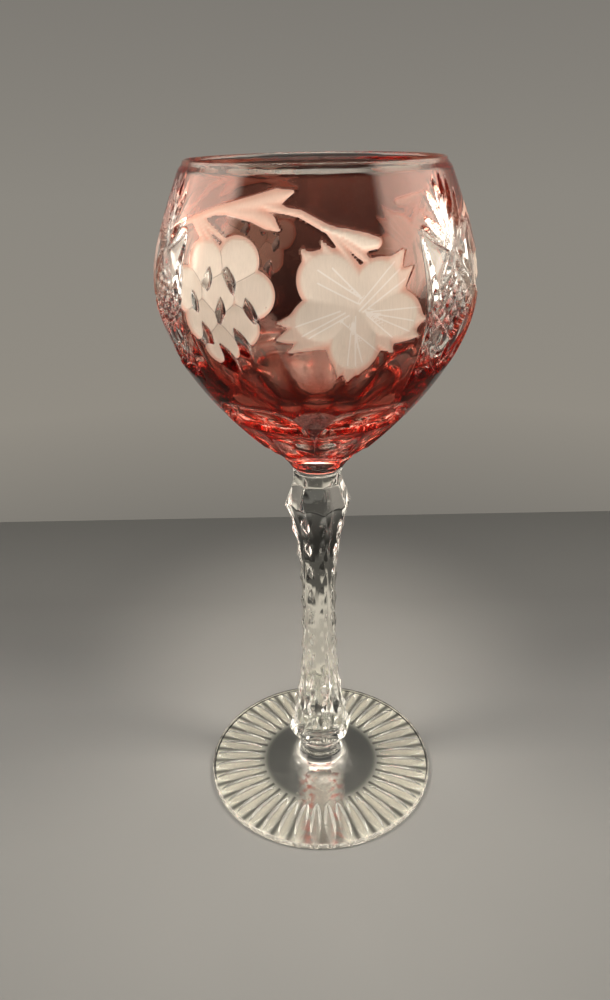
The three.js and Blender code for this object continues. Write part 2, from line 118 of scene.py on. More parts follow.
def cubic(corners: list[Place], steps: int) -> np.ndarray:
    """A cubic curve through [radius, height] corners, as the weighted sum of its four corners.

    Args:
        corners: Start, two handles and end.
        steps: Number of points.

    Returns:
        Points of shape (steps, 2).
    """
    t = np.linspace(0.0, 1.0, steps)[:, None]
    a, b, c, d = (np.array(corner, float) for corner in corners)
    return (1 - t) ** 3 * a + 3 * (1 - t) ** 2 * t * b + 3 * (1 - t) * t**2 * c + t**3 * d


def distances_along(curve: np.ndarray) -> np.ndarray:
    """Distance along a curve of [radius, height] points: the running sum of its steps.

    Args:
        curve: Shape (points, 2).

    Returns:
        One distance for each point, from 0.
    """
    steps = np.diff(curve, axis=0)
    return np.concatenate([[0.0], np.cumsum(np.hypot(steps[:, 0], steps[:, 1]))])


def beside(across: np.ndarray, up: np.ndarray, start: np.ndarray, run: np.ndarray) -> list[np.ndarray]:
    """Where the points of a plane lie by a straight run: the dot and the cross product with it.

    Args:
        across: First coordinate of each point.
        up: Second coordinate of each point.
        start: Where the run starts.
        run: The way from its start to its end.

    Returns:
        Distances along the run and to its side, both times its length.
    """
    right, rise = across - start[0], up - start[1]
    return [right * run[0] + rise * run[1], right * run[1] - rise * run[0]]


def tube_quads(rows: int, columns: int) -> np.ndarray:
    """Corner indices of a tube's quads. Row i joins row i + 1, and the last column joins the first.

    Args:
        rows: Rings of the tube.
        columns: Points in each ring.

    Returns:
        Shape (quads, 4).
    """
    i, j = np.meshgrid(np.arange(rows - 1), np.arange(columns), indexing="ij")
    k = (j + 1) % columns
    corners = [i * columns + j, i * columns + k, (i + 1) * columns + k, (i + 1) * columns + j]
    return np.stack(corners, axis=-1).reshape(-1, 4)


def grid_normals(points: np.ndarray) -> np.ndarray:
    """Outward normals of a tube of points: the cross product of its two central differences.

    Args:
        points: Shape (rows, columns, 3), columns round the axis and closed.

    Returns:
        Unit vectors of the same shape.
    """
    along = np.roll(points, -1, axis=1) - np.roll(points, 1, axis=1)
    up = np.gradient(points, axis=0)
    normal = np.cross(along, up)
    return normal / np.maximum(np.linalg.norm(normal, axis=-1, keepdims=True), TINY)


def linked(name: str, data: bpy.types.ID) -> bpy.types.Object:
    """A new object in the scene.

    Args:
        name: Name of the object.
        data: Its mesh, lamp or camera.

    Returns:
        The object.
    """
    made = bpy.data.objects.new(name, data)
    bpy.context.scene.collection.objects.link(made)
    return made


@dataclass
class Shell:
    """Vertices, faces and attributes of one piece while it is put together."""

    name: str
    points: np.ndarray
    quads: np.ndarray
    skins: np.ndarray
    triangles: np.ndarray = field(default_factory=lambda: np.zeros((0, 3), int))
    triangle_skins: np.ndarray = field(default_factory=lambda: np.zeros(0, int))
    attributes: dict[str, np.ndarray] = field(default_factory=dict)
    normals: np.ndarray | None = None

    def compact(self) -> None:
        """Drops the vertices that no face uses."""
        used = np.zeros(len(self.points), bool)
        used[self.quads.ravel()] = True
        used[self.triangles.ravel()] = True
        place = np.cumsum(used) - 1
        self.quads = place[self.quads]
        self.triangles = place[self.triangles]
        self.points = self.points[used]
        self.attributes = {name: values[used] for name, values in self.attributes.items()}
        if self.normals is not None:
            self.normals = self.normals[used]

    def build(self, materials: list[Material]) -> bpy.types.Object:
        """Makes the Blender object.

        Args:
            materials: Finishes in the order of Skin.

        Returns:
            The object, linked to the scene, with its place in its mesh.
        """
        self.compact()
        mesh = bpy.data.meshes.new(self.name)
        corners = np.concatenate([self.quads.ravel(), self.triangles.ravel()]).astype(np.int32)
        sizes = np.concatenate([np.full(len(self.quads), 4), np.full(len(self.triangles), 3)])
        starts = np.concatenate([[0], np.cumsum(sizes)[:-1]]).astype(np.int32)
        mesh.vertices.add(len(self.points))
        mesh.vertices.foreach_set("co", (self.points * MM).astype(np.float32).ravel())
        mesh.loops.add(len(corners))
        mesh.loops.foreach_set("vertex_index", corners)
        mesh.polygons.add(len(sizes))
        mesh.polygons.foreach_set("loop_start", starts)
        skins = np.concatenate([self.skins, self.triangle_skins]).astype(np.int32)
        mesh.polygons.foreach_set("material_index", skins)
        for name, values in self.attributes.items():
            layer = mesh.attributes.new(name, "FLOAT", "POINT")
            layer.data.foreach_set("value", values.astype(np.float32))
        mesh.update(calc_edges=True)
        mesh.shade_smooth()
        if self.normals is not None:
            mesh.normals_split_custom_set_from_vertices(self.normals.tolist())
        for material in materials:
            mesh.materials.append(material)
        piece = linked(self.name, mesh)
        triangles = 2 * len(self.quads) + len(self.triangles)
        log.info("%s: %d vertices, %d triangles", self.name, len(self.points), triangles)
        return piece


def capped_tube(name: str, rings: np.ndarray, skins: np.ndarray, start: Skin, end: Skin) -> Shell:
    """A closed body from rings of points, with a pole in the middle of its first and last ring.

    Args:
        name: Name of the piece.
        rings: Shape (rows, columns, 3).
        skins: Finish of the quads between each two rows, one number a row gap.
        start: Finish of the fan that closes the first ring.
        end: Finish of the fan that closes the last ring.

    Returns:
        The shell, not yet built.
    """
    rows, columns = rings.shape[:2]
    poles = np.stack([rings[0].mean(axis=0), rings[-1].mean(axis=0)])
    points = np.concatenate([rings.reshape(-1, 3), poles])
    first = np.arange(columns)
    after = np.roll(first, -1)
    last = (rows - 1) * columns
    bottom = np.stack([np.full(columns, rows * columns), after, first], axis=-1)
    top = np.stack([last + first, last + after, np.full(columns, rows * columns + 1)], axis=-1)
    return Shell(
        name=name,
        points=points,
        quads=tube_quads(rows, columns),
        skins=np.repeat(skins, columns),
        triangles=np.concatenate([bottom, top]),
        triangle_skins=np.repeat([start.value, end.value], columns),
    )


def dress(piece: bpy.types.Object, node: str) -> bpy.types.Object:
    """Puts a finished piece in the place of its CAD node and reports it.

    Args:
        piece: The built piece.
        node: Name of the CAD node that it stands for.

    Returns:
        The same piece.
    """
    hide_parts(node)
    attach(piece, "root")
    log.info("%s stands for %s", piece.name, node)
    return piece


# Finishes


class NodeTree:
    """A material's or world's node tree, with short calls to add and link nodes."""

    def __init__(self, owner: Material | bpy.types.World) -> None:
        """Clears the tree.

        Args:
            owner: The material or world that it belongs to.
        """
        owner.use_nodes = True
        self.owner = owner
        self.tree = owner.node_tree
        self.tree.nodes.clear()

    def add(self, kind: str, settings: dict | None = None, **inputs: object) -> bpy.types.Node:
        """Adds a node.

        Args:
            kind: Node type without its ShaderNode prefix.
            settings: Properties of the node itself.
            **inputs: Socket values or output sockets to link, by socket name with underscores for spaces.

        Returns:
            The node.
        """
        node = self.tree.nodes.new("ShaderNode" + kind)
        for name, value in (settings or {}).items():
            setattr(node, name, value)
        for name, value in inputs.items():
            self.feed(self.socket(node, name), value)
        return node

    @staticmethod
    def socket(node: bpy.types.Node, name: str) -> Socket:
        """An input of a node.

        Args:
            node: The node.
            name: The input's name with underscores for spaces, or i0, i1 and so on for its index.

        Returns:
            The input socket.
        """
        if name[0] == "i" and name[1:].isdigit():
            return node.inputs[int(name[1:])]
        return node.inputs[name.replace("_", " ")]

    def feed(self, socket: Socket, value: object) -> None:
        """Links an output socket to an input, or sets the input's own value.

        Args:
            socket: The input.
            value: An output socket, a number, or a colour or vector of three numbers.
        """
        if isinstance(value, Socket):
            self.tree.links.new(value, socket)
        elif isinstance(value, tuple) and len(value) == 3 and socket.type == "RGBA":
            socket.default_value = (*value, 1.0)
        else:
            socket.default_value = value

    def place(self) -> Socket:
        """Where a point is in its own object, in metres."""
        return self.add("TexCoord").outputs["Object"]

    def attribute(self, name: str) -> Socket:
        """The piece's own vertex attribute."""
        return self.add("Attribute", {"attribute_name": name}).outputs["Fac"]

    def number(self, operation: str, *values: object) -> Socket:
        """One arithmetic step, with any result."""
        inputs = {f"i{index}": value for index, value in enumerate(values)}
        return self.add("Math", {"operation": operation}, **inputs).outputs[0]

    def clamped(self, operation: str, a: object, b: object) -> Socket:
        """One arithmetic step, held between 0 and 1."""
        return self.add("Math", {"operation": operation, "use_clamp": True}, i0=a, i1=b).outputs[0]

    def remap(self, value: object, start: Place, end: Place = (0.0, 1.0), *, soft: bool = False) -> Socket:
        """A value moved from one range to another, and held within it.

        Args:
            value: The value.
            start: The two ends of the range that it comes from.
            end: What they become.
            soft: Whether it eases in and out at the ends.

        Returns:
            The new value.
        """
        settings = {"interpolation_type": "SMOOTHSTEP" if soft else "LINEAR"}
        ends = {"From_Min": start[0], "From_Max": start[1], "To_Min": end[0], "To_Max": end[1]}
        return self.add("MapRange", settings, Value=value, **ends).outputs["Result"]

    def spread(self, value: object, low: float, high: float) -> Socket:
        """A value of 0 to 1 spread over the range from low to high."""
        return self.remap(value, (0.0, 1.0), (low, high))

    def sharp(self, name: str, middle: float, reach: float) -> Socket:
        """A step from 0 to 1 where an attribute passes a value, as wide as twice reach."""
        return self.remap(self.attribute(name), (middle - reach, middle + reach), soft=True)

    def line(self, name: str, width: float) -> Socket:
        """A thin line where an attribute passes 0: 1 in its core, and 0 from width away."""
        size = self.number("ABSOLUTE", self.attribute(name))
        return self.remap(size, (width * LINE_CORE, width), (1.0, 0.0), soft=True)

    def blend(self, share: object, a: object, b: object) -> Socket:
        """Mixes two colours."""
        return self.add("Mix", {"data_type": "RGBA"}, i0=share, i6=a, i7=b).outputs[2]

    def product(self, a: object, b: object) -> Socket:
        """One colour times another."""
        settings = {"data_type": "RGBA", "blend_type": "MULTIPLY"}
        return self.add("Mix", settings, i0=1.0, i6=a, i7=b).outputs[2]

    def scaled(self, color: object, gain: object) -> Socket:
        """A colour times a number."""
        return self.add("VectorMath", {"operation": "SCALE"}, i0=color, Scale=gain).outputs[0]

    def ramp(self, value: object, stops: Sequence[tuple[float, Color]]) -> Socket:
        """A colour read from stops.

        Args:
            value: Where to read, from 0 to 1.
            stops: Each place with its colour, in order.

        Returns:
            The colour.
        """
        node = self.add("ValToRGB", None, Fac=value)
        elements = node.color_ramp.elements
        while len(elements) < len(stops):
            elements.new(1.0)
        for element, (place, color) in zip(elements, stops):
            element.position = place
            element.color = (*color, 1.0)
        return node.outputs["Color"]

    def read(self, value: Socket, stops: Sequence[tuple[float, Color]]) -> Socket:
        """A colour read from stops along a length.

        Args:
            value: Where to read, in metres.
            stops: Each place in millimetres with its colour, in order.

        Returns:
            The colour.
        """
        low, high = stops[0][0], stops[-1][0]
        share = self.remap(value, metres((low, high)))
        return self.ramp(share, [((place - low) / (high - low), color) for place, color in stops])

    def noise(self, scale: Point | float, detail: float) -> Socket:
        """Noise on Object coordinates.

        Args:
            scale: Patches in a metre, along each axis or along all three.
            detail: Levels of finer noise.

        Returns:
            A value around one half.
        """
        scale = scale if isinstance(scale, tuple) else (scale,) * 3
        mapped = self.add("Mapping", None, Vector=self.place(), Scale=scale).outputs[0]
        return self.add("TexNoise", None, Vector=mapped, Scale=1.0, Detail=detail).outputs["Fac"]

    def bump(self, height: Socket, strength: object, distance: float) -> Socket:
        """A normal turned by the slope of a height, which is distance metres high at 1."""
        return self.add("Bump", None, Height=height, Strength=strength, Distance=distance).outputs[0]

    def glass(self, color: object, roughness: object, clear: object, normal: Socket) -> Material:
        """Makes the surface glass.

        Args:
            color: What it lets through or scatters.
            roughness: How much its surface blurs.
            clear: Share of light that passes, and the rest is scattered.
            normal: The surface's normal.

        Returns:
            The finished material.
        """
        look = {"Base_Color": color, "Roughness": roughness, "Transmission_Weight": clear}
        return self.surface("BsdfPrincipled", IOR=GLASS_IOR, Normal=normal, **look)

    def surface(self, kind: str, **inputs: object) -> Material:
        """Ends a material with a shader.

        Args:
            kind: Node type of the shader without its ShaderNode prefix.
            **inputs: As for any node.

        Returns:
            The finished material.
        """
        self.add("OutputMaterial", None, Surface=self.add(kind, None, **inputs).outputs[0])
        return self.owner


@dataclass(frozen=True)
class ClearCrystal:
    """Hand-polished lead crystal: clear, with a faint ripple and a faint film of handling."""

    name: str = "clear_crystal"
    color: Color = CRYSTAL
    ripple: float = 0.08
    ripple_height: float = 0.0004
    ripple_scale: float = 260.0
    ripple_detail: float = 1.0
    smear_scale: float = 55.0
    smear_detail: float = 3.0
    roughness: Place = (0.0, 0.025)

    def make(self) -> Material:
        """Builds the finish.

        Returns:
            The material.
        """
        nodes = NodeTree(bpy.data.materials.new(self.name))
        ripple = nodes.noise(self.ripple_scale, self.ripple_detail)
        normal = nodes.bump(ripple, self.ripple, self.ripple_height)
        smear = nodes.noise(self.smear_scale, self.smear_detail)
        return nodes.glass(self.color, nodes.spread(smear, *self.roughness), 1.0, normal)


@dataclass(frozen=True)
class FrostedRay:
    """A ray cut under the foot: softly frosted, with the fine streaks of the wheel round it."""

    name: str = "frosted_ray"
    clear: Color = CRYSTAL
    white: Color = (0.98, 0.95, 0.88)
    roughness: Place = (0.02, 0.22)
    scatter: float = 0.24
    streak_scale: float = 700.0
    streak_detail: float = 3.0
    streak_gains: Place = (0.6, 1.3)
    grain: float = 0.25
    grain_height: float = 0.0002

    def make(self) -> Material:
        """Builds the finish, which reads how frosted each point is.

        Returns:
            The material.
        """
        nodes = NodeTree(bpy.data.materials.new(self.name))
        frost = nodes.attribute("frost")
        streaks = nodes.noise(self.streak_scale, self.streak_detail)
        worn = nodes.clamped("MULTIPLY", frost, nodes.spread(streaks, *self.streak_gains))
        normal = nodes.bump(streaks, nodes.clamped("MULTIPLY", frost, self.grain), self.grain_height)
        roughness = nodes.spread(worn, *self.roughness)
        clear = nodes.spread(worn, 1.0, 1.0 - self.scatter)
        return nodes.glass(nodes.blend(worn, self.clear, self.white), roughness, clear, normal)


@dataclass(frozen=True)
class FusedSeam:
    """Where two masses of glass are fused, light passes straight on."""

    name: str = "fused_seam"

    def make(self) -> Material:
        """Builds the finish.

        Returns:
            The material.
        """
        nodes = NodeTree(bpy.data.materials.new(self.name))
        return nodes.surface("BsdfTransparent", Color=WHITE)


@dataclass(frozen=True)
class RubyTone:
    """What the ruby lets through, by its share of full thickness: rose where thin, deep red where thick."""

    stops: tuple[tuple[float, Color], ...] = (
        (0.0, (1.0, 1.0, 1.0)),
        (0.12, (0.95, 0.78, 0.75)),
        (0.375, (0.90, 0.54, 0.47)),
        (0.6, (0.61, 0.175, 0.13)),
        (1.0, (0.34, 0.034, 0.02)),
    )

    def ramp(self, power: float) -> list[tuple[float, Color]]:
        """Stops of a colour ramp, each colour to a power."""
        return [(share, tuple(c**power for c in color)) for share, color in self.stops]


@dataclass(frozen=True)
class GroundGlass:
    """How a wheel-ground, unpolished cut scatters light, with the fine lines that the wheel leaves."""

    color: Color = (0.87, 0.755, 0.645)
    # The vein colour is a painted highlight, and the ridge colour is painted shade along the crests between
    # hollows.
    vein_highlight_color: Color = (1.0, 0.93, 0.86)
    ridge_shade_color: Color = (0.46, 0.37, 0.32)
    roughness: float = 0.55
    scatter: float = 0.62
    streak_scale: Point = (2400.0, 2400.0, 260.0)
    streak_detail: float = 2.0
    streak: float = 0.09
    grain: float = 0.22
    grain_height: float = 0.0001
    vein_width: float = 0.24
    ridge_width: float = 0.13
    edge: float = 0.12

    def cover(self, nodes: NodeTree, name: str) -> Socket:
        """A mark of the cutting with its edge drawn sharply, where it passes one half."""
        return nodes.sharp(name, 0.5, self.edge)

    def base(self, nodes: NodeTree) -> Socket:
        """Colour of the ground surface: its streaks, veins as a painted highlight and ridges as painted
        shade.

        Args:
            nodes: The material's tree.

        Returns:
            The colour.
        """
        dull = tuple(c * (1 - self.streak) for c in self.color)
        bright = tuple(c * (1 + self.streak) for c in self.color)
        toned = nodes.blend(nodes.noise(self.streak_scale, self.streak_detail), dull, bright)
        # Painted shade along the ridges, then a painted highlight on the veins.
        ridges = (nodes.line(name, self.ridge_width) for name in ("ridge", "side_ridge"))
        ridge_shaded = nodes.blend(nodes.clamped("MAXIMUM", *ridges), toned, self.ridge_shade_color)
        vein = nodes.clamped("MULTIPLY", nodes.line("vein", self.vein_width), self.cover(nodes, "veined"))
        return nodes.blend(vein, ridge_shaded, self.vein_highlight_color)

    def normal(self, nodes: NodeTree, matte: Socket) -> Socket:
        """Fine relief of the ground surface."""
        streaks = nodes.noise(self.streak_scale, self.streak_detail)
        return nodes.bump(streaks, nodes.clamped("MULTIPLY", matte, self.grain), self.grain_height)


@dataclass(frozen=True)
class CasedSurface:
    """The outside of the bowl: polished or ground glass, tinted by the ruby that is left over it."""

    name: str
    tinted: bool
    tone: RubyTone = RubyTone()
    ground: GroundGlass = GroundGlass()

    def make(self) -> Material:
        """Builds the finish, which reads the attributes of the cut bowl.

        Returns:
            The material.
        """
        nodes = NodeTree(bpy.data.materials.new(self.name))
        matte = self.ground.cover(nodes, "matte")
        color = nodes.blend(matte, WHITE, self.ground.base(nodes))
        if self.tinted:
            color = nodes.product(color, nodes.ramp(nodes.attribute("tint"), self.tone.ramp(1.0)))
        roughness = nodes.spread(matte, 0.0, self.ground.roughness)
        clear = nodes.spread(matte, 1.0, 1.0 - self.ground.scatter)
        return nodes.glass(color, roughness, clear, self.ground.normal(nodes, matte))


@dataclass(frozen=True)
class RubyFilm:
    """The inner face of the ruby: it colours what passes, and bends nothing."""

    name: str = "ruby_film"
    tone: RubyTone = RubyTone()
    power: float = 0.5

    def make(self) -> Material:
        """Builds the finish.

        Returns:
            The material.
        """
        nodes = NodeTree(bpy.data.materials.new(self.name))
        tint = nodes.ramp(nodes.attribute("tint"), self.tone.ramp(self.power))
        return nodes.surface("BsdfTransparent", Color=tint)


# Foot


@dataclass
class Foot:
    """Round foot: a disc that rises to a short neck, with long hollow rays ground under it."""

    radius: float = 38.5
    edge: float = 2.4
    bevel: float = 0.7
    height: float = 12.0
    neck_radius: float = 6.9
    neck_handle: Place = (8.2, 6.3)
    neck_heights: Place = (7.8, 9.8)
    flare_radius: float = 11.1
    crown_height: float = 5.2
    crown_handles: tuple[Place, Place] = ((24.0, 3.3), (17.0, 3.7))
    crown_rows: int = 16
    neck_rows: int = 10
    middle_radii: tuple[float, ...] = (4.0, 12.0, 20.0)
    rays: int = 40
    ray_inner: float = 21.5
    ray_outer: float = 37.2
    ray_depth: float = 1.2
    ray_fullness: float = 0.94
    ray_sweep: float = 0.85
    ray_softness: float = 1.6
    ray_rows: int = 30
    least_width: float = 0.05
    columns_per_ray: int = 16
    frost_slope: float = 2.6
    lip_rows: int = 10
    lip_frost: float = 0.55

    def across_rays(self, radius: np.ndarray, azimuth: np.ndarray) -> tuple[np.ndarray, np.ndarray]:
        """Where points lie across their rays, as shares of half the room that a ray has.

        A ray's half width is its fullness times the root of the sine of the way along it. The way is taken to
        the power of the sweep, so that a ray is widest a little inside its middle.

        Args:
            radius: Distances from the axis.
            azimuth: Azimuth of each column.

        Returns:
            How far each point is from its ray's middle line, and the ray's half width there.
        """
        along = np.clip((radius - self.ray_inner) / (self.ray_outer - self.ray_inner), 0.0, 1.0)
        across = np.abs((azimuth[None, :] * self.rays / 360.0) % 1.0 * 2.0 - 1.0)
        return across, self.ray_fullness * np.sqrt(np.sin(np.pi * along**self.ray_sweep))

    def frost(self, points: np.ndarray, azimuth: np.ndarray) -> np.ndarray:
        """How matte each point of the underside is: up to 1 in a ray, and 0 on the land between two."""
        across, width = self.across_rays(np.hypot(points[..., 0], points[..., 1]), azimuth)
        return np.clip((width - across) * self.frost_slope, 0.0, 1.0)

    def underside(self, azimuth: np.ndarray) -> np.ndarray:
        """Rings of the underside, from its middle outwards.

        A ray's depth is the full depth times its half width, times the hollow to the power of the softness.
        The hollow is one less the square of the distance from its middle line over its half width.

        Args:
            azimuth: Azimuth of each column.

        Returns:
            Shape (rows, columns, 3).
        """
        rows = np.linspace(self.ray_inner, self.ray_outer, self.ray_rows)
        radius = np.concatenate([self.middle_radii, rows])[:, None]
        across, width = self.across_rays(radius, azimuth)
        hollow = np.clip(1.0 - (across / np.maximum(width, self.least_width)) ** 2, 0.0, 1.0)
        return polar(radius, azimuth[None, :], self.ray_depth * width * hollow**self.ray_softness)

    def outline(self) -> np.ndarray:
        """[radius, height] points from the underside's edge over the top to the seam with the stem.

        Returns:
            Shape (points, 2).
        """
        inset = self.radius - self.bevel
        lip = [(inset, 0.0)]
        for angle in np.linspace(-90.0, 90.0, self.lip_rows - 1):
            middle = self.bevel if angle < 0 else self.edge - self.bevel
            turn = math.radians(angle)
            lip.append((inset + self.bevel * math.cos(turn), middle + self.bevel * math.sin(turn)))
        flare = (self.flare_radius, self.crown_height)
        crown = cubic([(inset, self.edge), *self.crown_handles, flare], self.crown_rows)
        shoulder, top = ((self.neck_radius, height) for height in self.neck_heights)
        neck = cubic([flare, self.neck_handle, shoulder, top], self.neck_rows)
        return np.concatenate([np.array(lip), crown[1:], neck[1:], [[self.neck_radius, self.height]]])

    def make(self, polished: Material, fused: Material, frosted: Material) -> bpy.types.Object:
        """The finished piece.

        Args:
            polished: Finish of its upper side and of the middle of its underside.
            fused: Finish of the seam with the stem.
            frosted: Finish of the rays and the lip.

        Returns:
            The piece.
        """
        columns = self.rays * self.columns_per_ray
        azimuth = np.arange(columns) * 360.0 / columns
        outline = self.outline()
        upper = polar(outline[:, :1], azimuth[None, :], outline[:, 1:])
        lower = self.underside(azimuth)
        rings = np.concatenate([lower, upper])
        skins = np.full(len(rings) - 1, Skin.POLISHED.value)
        skins[: len(lower) + self.lip_rows - 1] = Skin.CUT.value
        shell = capped_tube("foot_glass", rings, skins, Skin.POLISHED, Skin.FUSED)
        frost = np.zeros(len(shell.points))
        under, lip = len(lower) * columns, self.lip_rows * columns
        frost[:under] = self.frost(lower, azimuth).ravel()
        frost[under : under + lip] = self.lip_frost
        shell.attributes["frost"] = frost
        return dress(shell.build([polished, fused, frosted]), "foot")


# Stem


@dataclass
class Stem:
    """Cut stem: eight hollow sides with notched edges, a knop under the bowl and a collar over the foot."""

    bottom: float = 12.0
    top: float = 115.5
    sides: int = 8
    turn: float = 9.0
    end_radii: Place = (6.9, 7.3)
    end_blend: float = 2.0
    collar_height: float = 17.7
    collar_radius: float = 10.9
    waist_height: float = 68.0
    waist_radius: float = 5.75
    knop_height: float = 104.2
    knop_radius: float = 10.1
    throat_height: float = 112.0
    throat_radius: float = 7.35
    sweeps: Place = (2.6, 2.4)
    side_hollow: float = 0.3
    cone_flatness: float = 0.6
    notch_pitch: float = 8.6
    notch_depth: float = 0.65
    notch_curve: float = 1.2
    columns_per_side: int = 18
    rows_per_notch: int = 24
    cone_rows: tuple[int, int, int] = (20, 24, 12)

    def shaft_radius(self, height: np.ndarray) -> np.ndarray:
        """Corner radius of the shaft: the waist's, plus an end's gain times a power of the way towards it.

        Args:
            height: Heights over the floor.

        Returns:
            One radius for each height.
        """
        down = np.clip((self.waist_height - height) / (self.waist_height - self.collar_height), 0.0, None)
        up = np.clip((height - self.waist_height) / (self.knop_height - self.waist_height), 0.0, None)
        low_power, high_power = self.sweeps
        low_gain, high_gain = self.collar_radius - self.waist_radius, self.knop_radius - self.waist_radius
        return self.waist_radius + low_gain * down**low_power + high_gain * up**high_power

    def cone_radius(self, height: np.ndarray) -> np.ndarray:
        """Corner radius of the two cones that close the stem: from each seam out past its widest ring.

        Args:
            height: Heights over the floor.

        Returns:
            One radius for each height.
        """
        rise = (self.collar_radius - self.end_radii[0]) / (self.collar_height - self.bottom)
        fall = (self.knop_radius - self.throat_radius) / (self.throat_height - self.knop_height)
        lower = self.end_radii[0] + rise * (height - self.bottom)
        upper = np.maximum(self.throat_radius + fall * (self.throat_height - height), self.throat_radius)
        return np.minimum(lower, upper)

    def radius(self, azimuth: np.ndarray, height: np.ndarray) -> np.ndarray:
        """Radius of the stem's surface: the least of shaft, cones and notches.

        A flat side lies at its corner radius times the cosine of half a side, over the cosine of the angle
        from its middle. The shaft's sides are hollow as well, so that it bites into the knop in an arch on
        each side. A notch is a hollow across a corner, and its floor lies square to the corner. Its depth is
        the full one times one less the curve times the square of the distance from its middle, which is 1 at
        its two ends. The notches of one corner lie between those of the next.

        Args:
            azimuth: Degrees from the front towards +X.
            height: Heights over the floor.

        Returns:
            Radii with the broadcast shape of the arguments.
        """
        side = 360.0 / self.sides
        from_middle = (azimuth - self.turn) % side - side / 2
        flat = math.cos(math.radians(side / 2)) / np.cos(np.radians(from_middle))
        inside = 1.0 - (2.0 * from_middle / side) ** 2
        shaft = self.shaft_radius(height) * flat - self.side_hollow * inside
        cone = self.cone_radius(height) * (1.0 - self.cone_flatness * (1.0 - flat))
        corner = np.round((azimuth - self.turn) / side)
        phase = ((height - self.collar_height) / self.pitch() + 0.5 * (corner % 2.0)) % 1.0
        depth = self.notch_depth * (1.0 - self.notch_curve * (2.0 * phase - 1.0) ** 2)
        from_corner = side / 2 - np.abs(from_middle)
        notch = (self.shaft_radius(height) - depth) / np.cos(np.radians(from_corner))
        body = np.minimum(np.minimum(shaft, cone), notch)
        for end, radius in zip((self.bottom, self.top), self.end_radii):
            share = smooth_step(1.0 - np.abs(height - end) / self.end_blend)
            body = body + (radius - body) * share
        return body

    def pitch(self) -> float:
        """Distance between two notches, so that a whole number of them fills the shaft."""
        shaft = self.knop_height - self.collar_height
        return shaft / round(shaft / self.notch_pitch)

    def heights(self) -> np.ndarray:
        """Rows of the grid, close together where the notches are.

        Returns:
            Heights from the lower seam to the upper one.
        """
        rows = int((self.knop_height - self.collar_height) / self.pitch() * self.rows_per_notch)
        collar_rows, knop_rows, throat_rows = self.cone_rows
        return np.concatenate(
            [
                np.linspace(self.bottom, self.collar_height, collar_rows)[:-1],
                np.linspace(self.collar_height, self.knop_height, rows)[:-1],
                np.linspace(self.knop_height, self.throat_height, knop_rows)[:-1],
                np.linspace(self.throat_height, self.top, throat_rows),
            ]
        )

    def make(self, polished: Material, fused: Material) -> bpy.types.Object:
        """The finished piece.

        Args:
            polished: Finish of its sides.
            fused: Finish of both seams.

        Returns:
            The piece.
        """
        columns = self.sides * self.columns_per_side
        azimuth = self.turn + np.arange(columns) * 360.0 / columns
        height = self.heights()[:, None]
        rings = polar(self.radius(azimuth[None, :], height), azimuth[None, :], height)
        skins = np.full(len(rings) - 1, Skin.POLISHED.value)
        shell = capped_tube("stem_glass", rings, skins, Skin.FUSED, Skin.FUSED)
        return dress(shell.build([polished, fused]), "stem")


# Bowl


